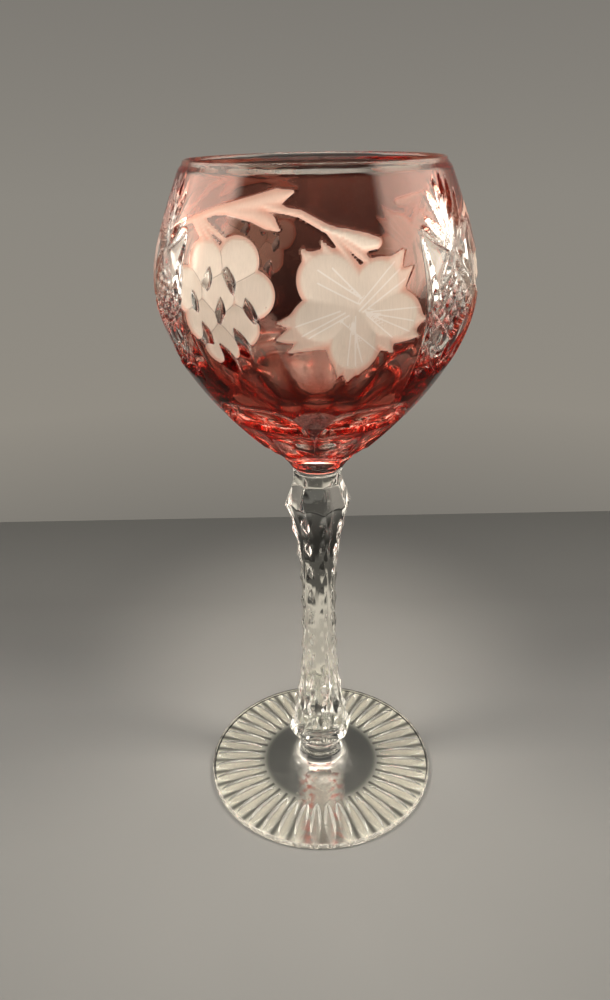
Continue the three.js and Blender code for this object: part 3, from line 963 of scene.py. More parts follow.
@dataclass
class BowlForm:
    """The uncut bowl: its outside and its inside as curves of radius over height.

    A curve's handles are shares of the width and height that it spans, and the neck's are [radius, height].
    """

    seam: float = 115.5
    rim_height: float = 200.0
    neck_radius: float = 7.7
    neck_handles: tuple[Place, Place] = ((7.6, 116.8), (8.3, 117.8))
    neck_rows: int = 30
    spring: Place = (9.0, 118.6)
    spring_handle: Place = (0.21, 0.11)
    belly: Place = (42.45, 169.0)
    belly_handles: Place = (0.42, 0.23)
    rim_radius: float = 33.0
    rim_handle: Place = (0.87, 0.63)
    rim_wall: float = 1.5
    belly_wall: float = 3.2
    floor_height: float = 129.0
    floor_handles: Place = (0.28, 0.5)
    floor_hole: float = 0.25
    steps: int = 400
    slope_reach: float = 0.3
    lining_start: float = 1.2
    lining_rows: int = 34

    def __post_init__(self) -> None:
        """Works out the outside curve, its slope and the distance along it."""
        swell = self.belly[0] - self.spring[0]
        climb = self.belly[1] - self.spring[1]
        out, up = self.spring_handle
        lower_handles = [
            (self.spring[0] + out * swell, self.spring[1] + up * climb),
            (self.belly[0], self.belly[1] - self.belly_handles[0] * climb),
        ]
        lower = cubic([self.spring, *lower_handles, self.belly], self.steps)
        upper = self.upper_curve(self.belly[0], self.rim_radius)
        neck = cubic([(self.neck_radius, self.seam), *self.neck_handles, self.spring], self.neck_rows)
        curve = np.concatenate([neck[:-1], lower[:-1], upper])
        self.radii, self.heights = curve[:, 0], curve[:, 1]
        self.lengths = distances_along(curve)

    def upper_curve(self, belly: float, rim: float) -> np.ndarray:
        """The curve from the belly to the rim, for the outside or for the inside.

        Args:
            belly: Radius at the belly.
            rim: Radius at the rim.

        Returns:
            [radius, height] points, from the belly up.
        """
        rise = self.rim_height - self.belly[1]
        out, down = self.rim_handle
        handles = [
            (belly, self.belly[1] + self.belly_handles[1] * rise),
            (rim + out * (belly - rim), self.rim_height - down * rise),
        ]
        return cubic([(belly, self.belly[1]), *handles, (rim, self.rim_height)], self.steps)

    def radius(self, height: np.ndarray) -> np.ndarray:
        """Radius of the outside at a height."""
        return np.interp(height, self.heights, self.radii)

    def length(self, height: np.ndarray) -> np.ndarray:
        """Distance along the outside from the seam up to a height."""
        return np.interp(height, self.heights, self.lengths)

    def normal(self, height: np.ndarray) -> tuple[np.ndarray, np.ndarray]:
        """The outside's normal at a height, from its slope over a short reach up and down.

        Args:
            height: Heights over the floor.

        Returns:
            The outward and the upward part of each unit normal.
        """
        above, below = height + self.slope_reach, height - self.slope_reach
        rise = np.minimum(above, self.rim_height) - np.maximum(below, self.seam)
        slope = (self.radius(above) - self.radius(below)) / rise
        size = np.hypot(1.0, slope)
        return 1.0 / size, -slope / size

    def inside(self) -> np.ndarray:
        """The inside, from the rim down to near its lowest point, in even steps.

        Returns:
            [radius, height] points.
        """
        belly = self.belly[0] - self.belly_wall
        depth = self.belly[1] - self.floor_height
        down, out = self.floor_handles
        handles = [(belly, self.belly[1] - down * depth), (out * belly, self.floor_height)]
        upper = self.upper_curve(belly, self.rim_radius - self.rim_wall)[::-1]
        lower = cubic([(belly, self.belly[1]), *handles, (self.floor_hole, self.floor_height)], self.steps)
        whole = np.concatenate([upper, lower[1:]])
        along = distances_along(whole)
        wanted = np.linspace(self.lining_start, along[-1], self.lining_rows)
        return np.stack([np.interp(wanted, along, part) for part in whole.T], axis=-1)


@dataclass
class Casing:
    """Thickness of the ruby over the crystal: thin at the rim and heavier towards the base."""

    upper: float = 0.45
    lower: float = 1.2
    thickens_from: float = 160.0
    thickest_at: float = 138.0
    rim_fade: Place = (197.6, 198.9)
    base_fade: Place = (117.0, 116.0)

    def thickness(self, height: np.ndarray) -> np.ndarray:
        """Thickness at a height, before any cut."""
        share = (self.thickens_from - height) / (self.thickens_from - self.thickest_at)
        return self.upper + (self.lower - self.upper) * smooth_step(share)


@dataclass
class Cutting:
    """The wheel cutting over the bowl's grid: how deep, how matte, and where veins and ridges run.

    A shape is a raw depth in mm, which is below 0 outside the shape. The marks that the finishes read change
    slowly from one grid point to the next, and the finish draws their edges sharply where they pass one half,
    or 0 for a line.
    """

    form: BowlForm
    casing: Casing
    azimuth: np.ndarray
    height: np.ndarray
    edge: float = 0.8
    far: float = 3.0
    reach: float = 2.0
    least: float = 0.05

    def __post_init__(self) -> None:
        """Starts with an uncut, polished surface."""
        shape = np.broadcast_shapes(self.azimuth.shape, self.height.shape)
        self.depth = np.zeros(shape)
        self.matte = np.zeros(shape)
        self.vein = np.full(shape, self.far)
        self.ridge = np.full(shape, self.reach)
        self.side_ridge = np.full(shape, self.reach)
        self.veined = np.zeros(shape)
        self.radius = self.form.radius(self.height)
        self.length = self.form.length(self.height)
        self.ruby = np.broadcast_to(self.casing.thickness(self.height), shape)

    def turn_from(self, azimuth: float) -> np.ndarray:
        """Degrees from an azimuth to each column, from -180 to 180."""
        return (self.azimuth - azimuth + 180.0) % 360.0 - 180.0

    def plane(self, azimuth: float) -> tuple[np.ndarray, np.ndarray]:
        """The grid unrolled round an azimuth: distance round the bowl, and distance up its outside."""
        across = np.radians(self.turn_from(azimuth)) * self.radius
        return across, np.broadcast_to(self.length, self.depth.shape)

    def on_plane(self, azimuth: float, place: Place) -> np.ndarray:
        """A place [azimuth, height] in the same unrolled plane."""
        across = math.radians(place[0] - azimuth) * float(self.form.radius(place[1]))
        return np.array([across, float(self.form.length(place[1]))])

    def carve(self, shape: np.ndarray, matte: float) -> None:
        """Takes glass away where a shape is deeper than what is there.

        Args:
            shape: Raw depth of the shape.
            matte: Finish of the cut, from 0 for polished to 1 for ground.
        """
        share = np.clip((shape - self.depth) / self.edge + 0.5, 0.0, 1.0)
        self.matte = self.matte + (matte - self.matte) * share
        self.depth = np.maximum(self.depth, shape)

    def stroke(self, azimuth: float, places: list[Place], widths: list[float]) -> np.ndarray:
        """How near the grid is to a line of cuts: 1 on its middle line, 0 at its edge, and below 0 outside.

        The distance to each straight run is divided by the run's width there, and the least wins.

        Args:
            azimuth: Azimuth that the plane is unrolled round.
            places: [azimuth, height] points of the line.
            widths: Half width at each point.

        Returns:
            One less the least distance over width, and never below -2.
        """
        across, up = self.plane(azimuth)
        points = [self.on_plane(azimuth, place) for place in places]
        best = np.full(self.depth.shape, self.far)
        for a, b, wide_a, wide_b in zip(points, points[1:], widths, widths[1:]):
            run = b - a
            along, _ = beside(across, up, a, run)
            share = np.clip(along / (run @ run), 0.0, 1.0)
            away = np.hypot(across - a[0] - share * run[0], up - a[1] - share * run[1])
            width = np.maximum(wide_a + (wide_b - wide_a) * share, self.least)
            best = np.minimum(best, away / width)
        return 1.0 - best

    def lens(self, azimuth: float, start: Place, end: Place, half_width: float) -> np.ndarray:
        """A V cut that is pointed at both ends, as a share of its depth in its middle, and below 0 outside.

        Its half width is the full one times one less the square of the distance from its middle.

        Args:
            azimuth: Azimuth that the plane is unrolled round.
            start: [azimuth, height] of one point.
            end: [azimuth, height] of the other.
            half_width: Half width in the middle.

        Returns:
            The share, and never below -2.
        """
        across, up = self.plane(azimuth)
        a, b = self.on_plane(azimuth, start), self.on_plane(azimuth, end)
        middle, half = (a + b) / 2, (b - a) / 2
        size = float(np.hypot(*half))
        along, aside = beside(across, up, middle, half)
        shape = 1.0 - (along / size**2) ** 2 - np.abs(aside / size) / half_width
        return np.maximum(shape, 1.0 - self.far)

    def ridges(self, groups: list[np.ndarray], near: np.ndarray) -> None:
        """Marks the ridges between hollows sorted into three groups, so that no neighbours share one.

        Args:
            groups: For each group the raw depth of its deepest hollow.
            near: Where these ridges count.
        """
        first = self.distance(groups[0] - np.maximum(groups[1], groups[2]))
        second = np.where(first < 0.0, self.distance(groups[1] - groups[2]), self.reach)
        self.ridge = np.where(near, first, self.ridge)
        self.side_ridge = np.where(near, second, self.side_ridge)

    def distance(self, values: np.ndarray) -> np.ndarray:
        """Values over their own slope, which is about the distance in mm to where they pass 0.

        Args:
            values: One value for each point of the grid.

        Returns:
            The distances, held within the reach of a mark.
        """
        around = np.gradient(values, np.radians(self.azimuth[0]), axis=1) / self.radius
        upward = np.gradient(values, self.length[:, 0], axis=0)
        slope = np.maximum(np.hypot(around, upward), self.least)
        return np.clip(values / slope, -self.reach, self.reach)


@dataclass
class VineMotif:
    """A bunch of grapes and a five-lobed leaf on one vine, ground matte.

    Places are those of the front motif, as azimuth and height. A grape also has its group, a seed its lean, a
    lobe its half width and where it is widest, and a tip its half width. A vein has its far and near end, as
    degrees and height from the leaf's middle. A run has its places, its half width at each, and its depth.
    """

    front: float = -7.0
    grapes: tuple[tuple[float, float, int], ...] = (
        (-38.0, 179.8, 0), (-26.0, 180.8, 1), (-45.4, 173.6, 1), (-32.9, 173.6, 2),
        (-20.4, 174.0, 0), (-39.7, 167.3, 0), (-25.4, 166.8, 1), (-32.9, 162.0, 2),
    )
    grape_radius: float = 5.35
    grape_depth: float = 0.9
    seeds: tuple[tuple[float, float, float], ...] = (
        (-37.3, 176.6, 0.0), (-28.8, 176.6, 1.5), (-43.2, 171.0, 1.5), (-32.1, 170.2, 0.0),
        (-21.7, 170.4, 1.5), (-38.9, 163.9, 2.0), (-25.6, 163.4, 2.5), (-32.0, 159.1, 3.0),
    )
    ridge_from: float = 0.3
    seed_size: Place = (1.15, 2.9)
    seed_depths: Place = (0.86, 0.75)
    leaf: Place = (11.9, 170.7)
    lobes: tuple[tuple[float, float, float, float], ...] = (
        (-4.5, 181.4, 6.7, 0.56), (24.3, 180.0, 5.9, 0.52), (33.0, 167.2, 5.8, 0.52),
        (10.2, 155.6, 5.9, 0.52), (-8.4, 167.4, 5.7, 0.54),
    )
    lobe_depth: float = 0.85
    lobe_overlap: float = 0.12
    lowest: float = -3.0
    tips: tuple[tuple[float, float, float], ...] = (
        (-5.3, 183.2, 6.0), (1.0, 184.8, 3.5), (27.9, 182.4, 5.0), (29.9, 178.6, 5.0), (35.2, 167.0, 6.0),
        (33.0, 163.0, 6.0), (24.0, 160.0, 4.0), (6.0, 154.8, 5.0), (9.5, 153.4, 6.0), (13.0, 155.2, 5.0),
        (-12.4, 168.0, 4.6), (-13.4, 164.0, 5.0), (-9.5, 161.4, 4.4),
    )
    tip_depth: float = 0.36
    tip_root: float = 0.45
    tip_point: float = 0.2
    tip_steepness: float = 3.0
    veins: tuple[tuple[tuple[float, float, float, float], ...], ...] = (
        ((-12.0, 8.5, 0.0, 2.7), (-7.8, 8.8, 0.4, 2.9), (-12.0, 5.8, -0.8, 1.5)),
        ((10.5, 9.3, 0.5, 1.4), (12.4, 7.7, 0.5, 0.0), (14.3, 5.5, 1.9, -0.3)),
        ((20.5, -0.8, 1.9, -0.6), (18.1, -3.7, 2.9, -0.8), (16.7, -6.0, 2.9, -1.0)),
        ((10.5, -6.7, 2.9, -1.6),),
        ((6.7, -10.5, -5.4, -2.4),),
        ((-1.0, -13.3, -1.0, -1.9), (-3.5, -13.0, -2.1, -3.5), (1.0, -12.4, -0.8, -6.0)),
        ((-18.6, -3.3, -6.2, -0.3), (-16.7, -5.4, -4.7, -0.8), (-14.7, -5.9, -3.5, -1.4)),
    )
    vein_far: float = 9.0
    vein_reach: float = 2.0
    vein_half: float = 0.6
    vein_fade: float = 0.8
    runs: tuple[tuple[tuple[Place, ...], tuple[float, ...], float], ...] = (
        (
            ((-52.7, 187.2), (-37.4, 190.4), (-21.5, 192.3), (-14.0, 193.4), (-7.9, 194.6)),
            (0.6, 0.9, 1.6, 1.8, 0.2),
            0.31,
        ),
        (((-35.0, 190.6), (-22.0, 190.0), (-16.5, 188.6), (-12.3, 186.8)), (0.6, 1.7, 1.7, 0.2), 0.28),
        (((-18.0, 191.6), (-6.0, 190.2), (3.4, 187.0), (13.0, 177.4)), (0.7, 0.8, 0.9, 0.45), 0.33),
        (((4.5, 186.6), (12.0, 182.6), (17.8, 179.0)), (0.6, 0.9, 0.4), 0.32),
        (((1.1, 187.6), (9.0, 186.0), (14.7, 184.3), (18.4, 184.1)), (0.5, 1.2, 2.0, 1.3), 0.62),
        (((-47.0, 188.2), (-35.0, 181.2)), (0.9, 0.4), 0.31),
        (((-44.0, 188.6), (-29.5, 184.1)), (0.9, 0.4), 0.31),
        (((-45.5, 188.4), (-32.5, 182.4)), (0.9, 0.4), 0.31),
    )

    def bunch(self, cuts: Cutting, shift: float) -> None:
        """Grapes as shallow dishes, and a polished seed cut under each.

        A dish's depth is its own depth times one less the fourth power of the distance from its middle, so
        that a ring of thin ruby stays at its edge.

        Args:
            cuts: The cutting that it goes into.
            shift: Degrees from the front motif to this one.
        """
        axis = self.front + shift
        across, up = cuts.plane(axis)
        groups = [np.full(cuts.depth.shape, self.lowest) for _ in range(3)]
        for azimuth, height, group in self.grapes:
            x, y = cuts.on_plane(axis, (azimuth + shift, height))
            near = ((across - x) ** 2 + (up - y) ** 2) / self.grape_radius**2
            groups[group] = np.maximum(groups[group], self.grape_depth * (1.0 - near**2))
        deepest = np.maximum(np.maximum(groups[0], groups[1]), groups[2])
        cuts.carve(deepest, matte=1.0)
        cuts.ridges(groups, deepest > self.ridge_from)
        wide, tall = self.seed_size
        start_depth, depth = self.seed_depths
        for azimuth, height, lean in self.seeds:
            start = (azimuth + lean + shift, height - tall)
            seed = cuts.lens(axis, start, (azimuth - lean + shift, height + tall), wide)
            cuts.carve(start_depth + depth * seed, matte=0.0)

    def leaves(self, cuts: Cutting, shift: float) -> None:
        """The leaf: a shallow pointed facet behind each tip, a pale hollow for each lobe, and veins.

        A lobe's depth falls with the fourth power of the distance from its middle, as in an oval dish. The
        dish is as long as the lobe, and widest at a share of the way from the leaf's middle to the tip.

        Args:
            cuts: The cutting that it goes into.
            shift: Degrees from the front motif to this one.
        """
        axis = self.front + shift
        middle = (self.leaf[0] + shift, self.leaf[1])
        for azimuth, height, width in self.tips:
            tip = (azimuth + shift, height)
            root = tuple(near + self.tip_root * (far - near) for near, far in zip(middle, tip))
            facet = cuts.stroke(axis, [root, tip], [width, self.tip_point])
            cuts.carve(self.tip_depth * np.minimum(facet * self.tip_steepness, 1.0), matte=1.0)
        across, up = cuts.plane(axis)
        start = cuts.on_plane(axis, middle)
        deepest = np.full(cuts.depth.shape, self.lowest)
        for azimuth, height, width, widest in self.lobes:
            run = cuts.on_plane(axis, (azimuth + shift, height)) - start
            size = float(np.hypot(*run))
            along, aside = beside(across, up, start, run)
            share = along / size**2
            outward = (share - widest) / (1.0 - widest)
            inward = (widest - share) / (widest + self.lobe_overlap)
            near = np.where(share > widest, outward, inward) ** 2 + (aside / size / width) ** 2
            deepest = np.maximum(deepest, self.lobe_depth * (1.0 - near**2))
        cuts.carve(deepest, matte=1.0)
        self.mark_veins(cuts, shift)

    def mark_veins(self, cuts: Cutting, shift: float) -> None:
        """Straight veins as a distance that changes its sign at each, so that they stay thin and unbroken.

        The distance is the least one to any line of the nearest fan, times the signs of the distances to all
        lines of that fan. A second mark says where a vein is near.

        Args:
            cuts: The cutting that they go into.
            shift: Degrees from the front motif to this one.
        """
        axis = self.front + shift
        across, up = cuts.plane(axis)
        x, y = cuts.on_plane(axis, (self.leaf[0] + shift, self.leaf[1]))
        scale = math.radians(1.0) * float(cuts.form.radius(self.leaf[1]))
        nearest = np.full(cuts.depth.shape, self.vein_far)
        for fan in self.veins:
            signed = np.full(cuts.depth.shape, self.vein_far)
            reached = np.full(cuts.depth.shape, self.vein_far)
            for far_turn, far_rise, near_turn, near_rise in fan:
                a = np.array([x + near_turn * scale, y + near_rise])
                run = np.array([x + far_turn * scale, y + far_rise]) - a
                size = float(np.hypot(*run))
                along, aside = (value / size for value in beside(across, up, a, run))
                past = np.maximum(np.maximum(-along, along - size), 0.0)
                reached = np.minimum(reached, np.hypot(aside, past))
                sign = np.where(signed < 0.0, -1.0, 1.0) * np.where(aside < 0.0, -1.0, 1.0)
                signed = sign * np.minimum(np.abs(signed), np.abs(aside))
            closer = reached < np.minimum(nearest, self.vein_reach)
            cuts.vein = np.where(closer, signed, cuts.vein)
            nearest = np.minimum(nearest, reached)
        near = np.clip(0.5 + (self.vein_half - nearest) / self.vein_fade, 0.0, 1.0)
        cuts.veined = np.maximum(cuts.veined, near)

    def vine(self, cuts: Cutting, shift: float) -> None:
        """The vine with its long blades, stalks and bud. Each run has its places, half widths and depth.

        The depth is the run's, times one less the square of one less the nearness to its middle line.

        Args:
            cuts: The cutting that it goes into.
            shift: Degrees from the front motif to this one.
        """
        for places, widths, depth in self.runs:
            near = cuts.stroke(self.front + shift, [(a + shift, z) for a, z in places], widths)
            shape = np.where(near > 0.0, 1.0 - (1.0 - near) ** 2, 2.0 * near)
            cuts.carve(depth * shape, matte=1.0)

    def cut(self, cuts: Cutting, azimuth: float) -> None:
        """Cuts the whole motif.

        Args:
            cuts: The cutting that it goes into.
            azimuth: Azimuth of the motif's middle line.
        """
        shift = azimuth - self.front
        self.vine(cuts, shift)
        self.leaves(cuts, shift)
        self.bunch(cuts, shift)


@dataclass
class StarPanel:
    """A polished panel between two motifs, cleared of ruby: borders, a fan, a crossed diamond and rays.

    A pair is a long cut and its mirror image, with start and end as azimuth and height, and the half width.
    """

    half_width: float = 17.5
    bottom: float = 152.5
    top: float = 186.0
    clear_margin: float = 0.12
    fan_root: float = 180.5
    fan: tuple[Place, ...] = (
        (-15.5, 188.5), (-11.0, 193.8), (-5.5, 196.6), (0.0, 197.4),
        (5.5, 196.6), (11.0, 193.8), (15.5, 188.5),
    )
    fan_width: float = 1.2
    fan_gather: float = 0.06
    pairs: tuple[tuple[Place, Place, float], ...] = (
        ((17.5, 148.5), (18.0, 186.0), 1.5), ((12.5, 161.0), (17.5, 186.5), 1.3),
        ((18.0, 186.5), (-1.5, 179.5), 1.5), ((12.0, 173.0), (-1.0, 182.5), 1.4),
        ((13.5, 174.0), (2.0, 162.5), 1.0), ((14.5, 163.0), (0.5, 171.0), 1.0),
        ((0.0, 150.5), (16.0, 162.0), 1.3), ((0.0, 150.5), (9.5, 160.5), 1.2),
        ((17.5, 153.5), (3.0, 151.5), 1.2),
    )
    middle_ray: tuple[Place, Place, float] = ((0.0, 150.5), (0.0, 160.0), 1.2)
    diamond_middle: float = 168.6
    diamond_half: Place = (14.5, 9.4)
    lines: int = 4
    depth: float = 0.85
    steepness: float = 4.0
    squareness: float = 12.0
    crossing: Place = (0.15, 0.95)
    outside: float = -1.0

    def cut(self, cuts: Cutting, azimuth: float) -> None:
        """Cuts the panel round an azimuth. All of it is polished.

        A long cut's depth is that of the cleared panel times its share times the steepness, at most once, and
        its own depth times its share.

        Args:
            cuts: The cutting that it goes into.
            azimuth: Azimuth of the panel's middle line.
        """
        self.clear(cuts, azimuth)
        floor = cuts.ruby + self.clear_margin
        for start, end, width in self.long_cuts():
            places = [(azimuth + turn, height) for turn, height in (start, end)]
            share = cuts.lens(azimuth, *places, width)
            depth = floor * np.minimum(share * self.steepness, 1.0) + self.depth * share
            cuts.carve(np.where(share > 0.0, depth, share), matte=0.0)
        self.hobnails(cuts, azimuth, floor)

    def clear(self, cuts: Cutting, azimuth: float) -> None:
        """Takes the ruby off between the borders.

        The depth is a little over the ruby's thickness, times one less how far out a point lies. That is a
        share of the half width or half height, to the power of the squareness.

        Args:
            cuts: The cutting that it goes into.
            azimuth: Azimuth of the panel's middle line.
        """
        middle, half = (self.top + self.bottom) / 2, (self.top - self.bottom) / 2
        aside = np.abs(cuts.turn_from(azimuth)) / self.half_width
        out = np.maximum(aside, np.abs(cuts.height - middle) / half)
        shape = (cuts.ruby + self.clear_margin) * (1.0 - out**self.squareness)
        cuts.carve(np.maximum(shape, self.outside), matte=0.0)

    def long_cuts(self) -> list[tuple[Place, Place, float]]:
        """All the long pointed cuts: the pairs to the left and to the right, the fan and the middle ray.

        Returns:
            Start, end and half width of each, with azimuths from the panel's middle line.
        """
        cuts = []
        for side in (-1.0, 1.0):
            for (turn, height), (far_turn, far_height), width in self.pairs:
                cuts.append(((side * turn, height), (side * far_turn, far_height), width))
        for turn, height in self.fan:
            cuts.append(((turn * self.fan_gather, self.fan_root), (turn, height), self.fan_width))
        return [*cuts, self.middle_ray]

    def hobnails(self, cuts: Cutting, azimuth: float, floor: np.ndarray) -> None:
        """A diamond of crossed V cuts, which leave a small four-sided point between them.

        The depth falls from each line to half way to the next, in both directions, and the deeper one wins.

        Args:
            cuts: The cutting that it goes into.
            azimuth: Azimuth of the panel's middle line.
            floor: Depth of the cleared panel.
        """
        across, up = cuts.plane(azimuth)
        middle = cuts.on_plane(azimuth, (azimuth, self.diamond_middle))
        wide = math.radians(self.diamond_half[0]) * float(cuts.form.radius(self.diamond_middle))
        x, y = (across - middle[0]) / wide, (up - middle[1]) / self.diamond_half[1]
        p, q = (x + y + 1.0) / 2.0, (x - y + 1.0) / 2.0
        inside = (np.minimum(p, q) > 0.0) & (np.maximum(p, q) < 1.0)
        falls = [np.abs(2.0 * ((value * self.lines) % 1.0) - 1.0) for value in (p, q)]
        least, gain = self.crossing
        depth = floor + least + gain * np.maximum(*falls)
        cuts.carve(np.where(inside, depth, self.outside), matte=0.0)


@dataclass
class BaseCuts:
    """Three rings of hollow cuts round the bowl's base: neck facets, thumb cuts and long petals."""

    ridge: float = -3.0
    petals: int = 6
    petal_bottom: float = 134.9
    petal_sag: float = 1.3
    petal_rise: float = 8.9
    petal_shoulder: float = 8.5
    petal_sweep: float = 1.6
    petal_depth: float = 2.1
    petal_full: float = 2.0
    petal_least: float = 0.001
    thumbs: int = 12
    thumb_band: Place = (124.6, 135.2)
    thumb_depth: float = 1.17
    neck_facets: int = 6
    neck_band: Place = (118.4, 125.2)
    neck_depth: float = 1.5
    neck_curve: float = 0.8

    def cut(self, cuts: Cutting) -> None:
        """Cuts all three rings.

        Args:
            cuts: The cutting that they go into.
        """
        turn = cuts.azimuth - self.ridge
        self.cut_thumbs(cuts, turn)
        self.cut_neck(cuts, turn)
        self.cut_petals(cuts, turn)

    def cut_thumbs(self, cuts: Cutting, turn: np.ndarray) -> None:
        """Hollow thumb cuts: a parabola across each cut, and the root of the sine of the way up it.

        Args:
            cuts: The cutting that they go into.
            turn: Degrees from the first ridge to each column.
        """
        low, high = self.thumb_band
        across = 2.0 * ((turn * self.thumbs / 360.0) % 1.0) - 1.0
        rise = np.clip((cuts.height - low) / (high - low), 0.0, 1.0)
        shape = (1.0 - across**2) * np.sqrt(np.sin(np.pi * rise))
        cuts.carve(self.thumb_depth * shape, matte=0.0)

    def cut_neck(self, cuts: Cutting, turn: np.ndarray) -> None:
        """Facets at the neck, cut right through the ruby, each with its middle under a ridge between petals.

        The depth is the sine of the way up a facet, less the curve times the square of the way across it.

        Args:
            cuts: The cutting that they go into.
            turn: Degrees from the first ridge to each column.
        """
        low, high = self.neck_band
        across = 2.0 * ((turn * self.neck_facets / 360.0 + 0.5) % 1.0) - 1.0
        rise = np.clip((cuts.height - low) / (high - low), 0.0, 1.0)
        shape = np.clip(np.sin(np.pi * rise) - self.neck_curve * across**2, 0.0, 1.0)
        cuts.carve(self.neck_depth * shape, matte=0.0)

    def cut_petals(self, cuts: Cutting, turn: np.ndarray) -> None:
        """Long petals, pointed at both ends. The lower edge sags and the upper one rises to a shoulder.

        The upper edge is its rise times one less the exponential of minus the angle from the point, over the
        shoulder's angle, to the power of the sweep. The depth is the root of a parabola between the edges.

        Args:
            cuts: The cutting that they go into.
            turn: Degrees from the first ridge to each column.
        """
        period = 360.0 / self.petals
        from_middle = np.abs((turn % period) - period / 2)
        from_point = period / 2 - from_middle
        share = from_middle / (period / 2)
        lower = self.petal_bottom + self.petal_sag * (1.0 - share**2)
        shoulder = 1.0 - np.exp(-((from_point / self.petal_shoulder) ** self.petal_sweep))
        upper = self.petal_bottom + self.petal_rise * shoulder
        middle, half = (upper + lower) / 2, np.maximum((upper - lower) / 2, self.petal_least)
        inside = np.clip(1.0 - ((cuts.height - middle) / half) ** 2, 0.0, 1.0)
        shape = np.sqrt(inside) * np.clip(half / self.petal_full, 0.0, 1.0)
        cuts.carve(self.petal_depth * shape, matte=0.0)


@dataclass
class Bowl:
    """The bowl: the crystal and the ruby over it, from one grid with every cut in it.

    The grid is finer at the front. A band has its lower and upper height, and its number of rows.
    """

    form: BowlForm = field(default_factory=BowlForm)
    casing: Casing = field(default_factory=Casing)
    motifs: tuple[float, ...] = (-7.0, 113.0, 233.0)
    panels: tuple[float, ...] = (53.0, -67.0)
    gap: float = 0.01
    fade_depth: float = 1.001
    rim_rows: int = 7
    front_span: Place = (-64.0, 74.0)
    front_step: float = 0.56
    back_step: float = 1.0
    bands: tuple[tuple[float, float, int], ...] = (
        (115.5, 117.2, 6), (117.2, 125.2, 14), (125.2, 134.9, 17), (134.9, 146.0, 18),
        (146.0, 152.0, 5), (152.0, 197.6, 82), (197.6, 199.6, 6),
    )

    def __post_init__(self) -> None:
        """Lays out the grid and cuts it."""
        start, end = self.front_span
        front = np.arange(start, end, self.front_step)
        count = int(round((360.0 - (end - start)) / self.back_step))
        back = np.linspace(end, start + 360.0, count, endpoint=False)
        self.azimuth = np.concatenate([front, back])[None, :]
        rows = [np.linspace(low, high, count, endpoint=False) for low, high, count in self.bands]
        self.height = np.concatenate([*rows, [self.bands[-1][1]]])[:, None]
        self.cuts = Cutting(self.form, self.casing, self.azimuth, self.height)
        BaseCuts().cut(self.cuts)
        for azimuth in self.panels:
            StarPanel().cut(self.cuts, azimuth)
        for azimuth in self.motifs:
            VineMotif().cut(self.cuts, azimuth)
        self.thickness = self.casing.thickness(self.height)
        self.fade_ends()

    def fade_ends(self) -> None:
        """Runs the ruby out to nothing just under the rim and just over the seam with the stem."""
        for start, end in (self.casing.rim_fade, self.casing.base_fade):
            share = np.clip((self.height - start) / (end - start), 0.0, 1.0)
            self.cuts.depth = np.maximum(self.cuts.depth, self.fade_depth * self.thickness * share)

    def surface(self, depth: np.ndarray) -> np.ndarray:
        """Points at a depth under the uncut form, measured along its normal.

        Args:
            depth: Depth of each point of the grid.

        Returns:
            Shape (rows, columns, 3).
        """
        out, up = self.form.normal(self.height)
        radius = self.form.radius(self.height) - depth * out
        return polar(radius, self.azimuth, self.height - depth * up)

    def attributes(self) -> dict[str, np.ndarray]:
        """The values that the finishes read at each point of the grid.

        Returns:
            One flat array for each attribute.
        """
        left = np.clip(self.thickness - self.cuts.depth, 0.0, None) / self.casing.lower
        values = {
            "tint": left,
            "matte": self.cuts.matte,
            "vein": self.cuts.vein,
            "veined": self.cuts.veined,
            "ridge": self.cuts.ridge,
            "side_ridge": self.cuts.side_ridge,
        }
        return {name: np.broadcast_to(value, self.cuts.depth.shape).ravel() for name, value in values.items()}

    def cell_mask(self) -> np.ndarray:
        """Which cells of the grid still have ruby at one corner or more.

        Returns:
            One flag for each cell, row by row.
        """
        kept = self.cuts.depth < self.thickness
        right = np.roll(kept, -1, axis=1)
        return (kept[:-1] | kept[1:] | right[:-1] | right[1:]).ravel()

    def make_casing(self, outer: Material, film: Material) -> bpy.types.Object:
        """The ruby: an outer and an inner skin that meet where a cut goes through it.

        Args:
            outer: Finish of the outer skin.
            film: Finish of the inner skin.

        Returns:
            The piece.
        """
        depth = self.cuts.depth
        outside = self.surface(depth)
        inside = self.surface(np.maximum(depth, self.thickness))
        rows, columns = depth.shape
        count = rows * columns
        cells = tube_quads(rows, columns)[self.cell_mask()]
        index = np.arange(count)
        through = (depth >= self.thickness).ravel()
        inner_index = np.where(through, index, index + count)
        shell = Shell(
            name="ruby_casing_glass",
            points=np.concatenate([outside.reshape(-1, 3), inside.reshape(-1, 3)]),
            quads=np.concatenate([cells, inner_index[cells][:, ::-1]]),
            skins=np.repeat([Skin.POLISHED.value, Skin.FUSED.value], len(cells)),
            attributes={name: np.tile(values, 2) for name, values in self.attributes().items()},
            normals=np.concatenate([grid_normals(outside).reshape(-1, 3), np.zeros((count, 3))]),
        )
        return dress(shell.build([outer, film]), "ruby_casing")

    def rim(self, outer: np.ndarray, inner: np.ndarray) -> np.ndarray:
        """The rounded rim between the outside and the inside.

        Args:
            outer: [radius, height] of the outside's last ring.
            inner: [radius, height] of the inside's first ring.

        Returns:
            [radius, height] points, without the two ends.
        """
        turn = np.linspace(0.0, math.pi, self.rim_rows)[1:-1]
        middle, half = (outer + inner) / 2, (outer - inner) / 2
        lift = self.form.rim_height - max(outer[1], inner[1])
        radius = middle[0] + half[0] * np.cos(turn)
        height = middle[1] + half[1] * np.cos(turn) + lift * np.sin(turn)
        return np.stack([radius, height], axis=-1)

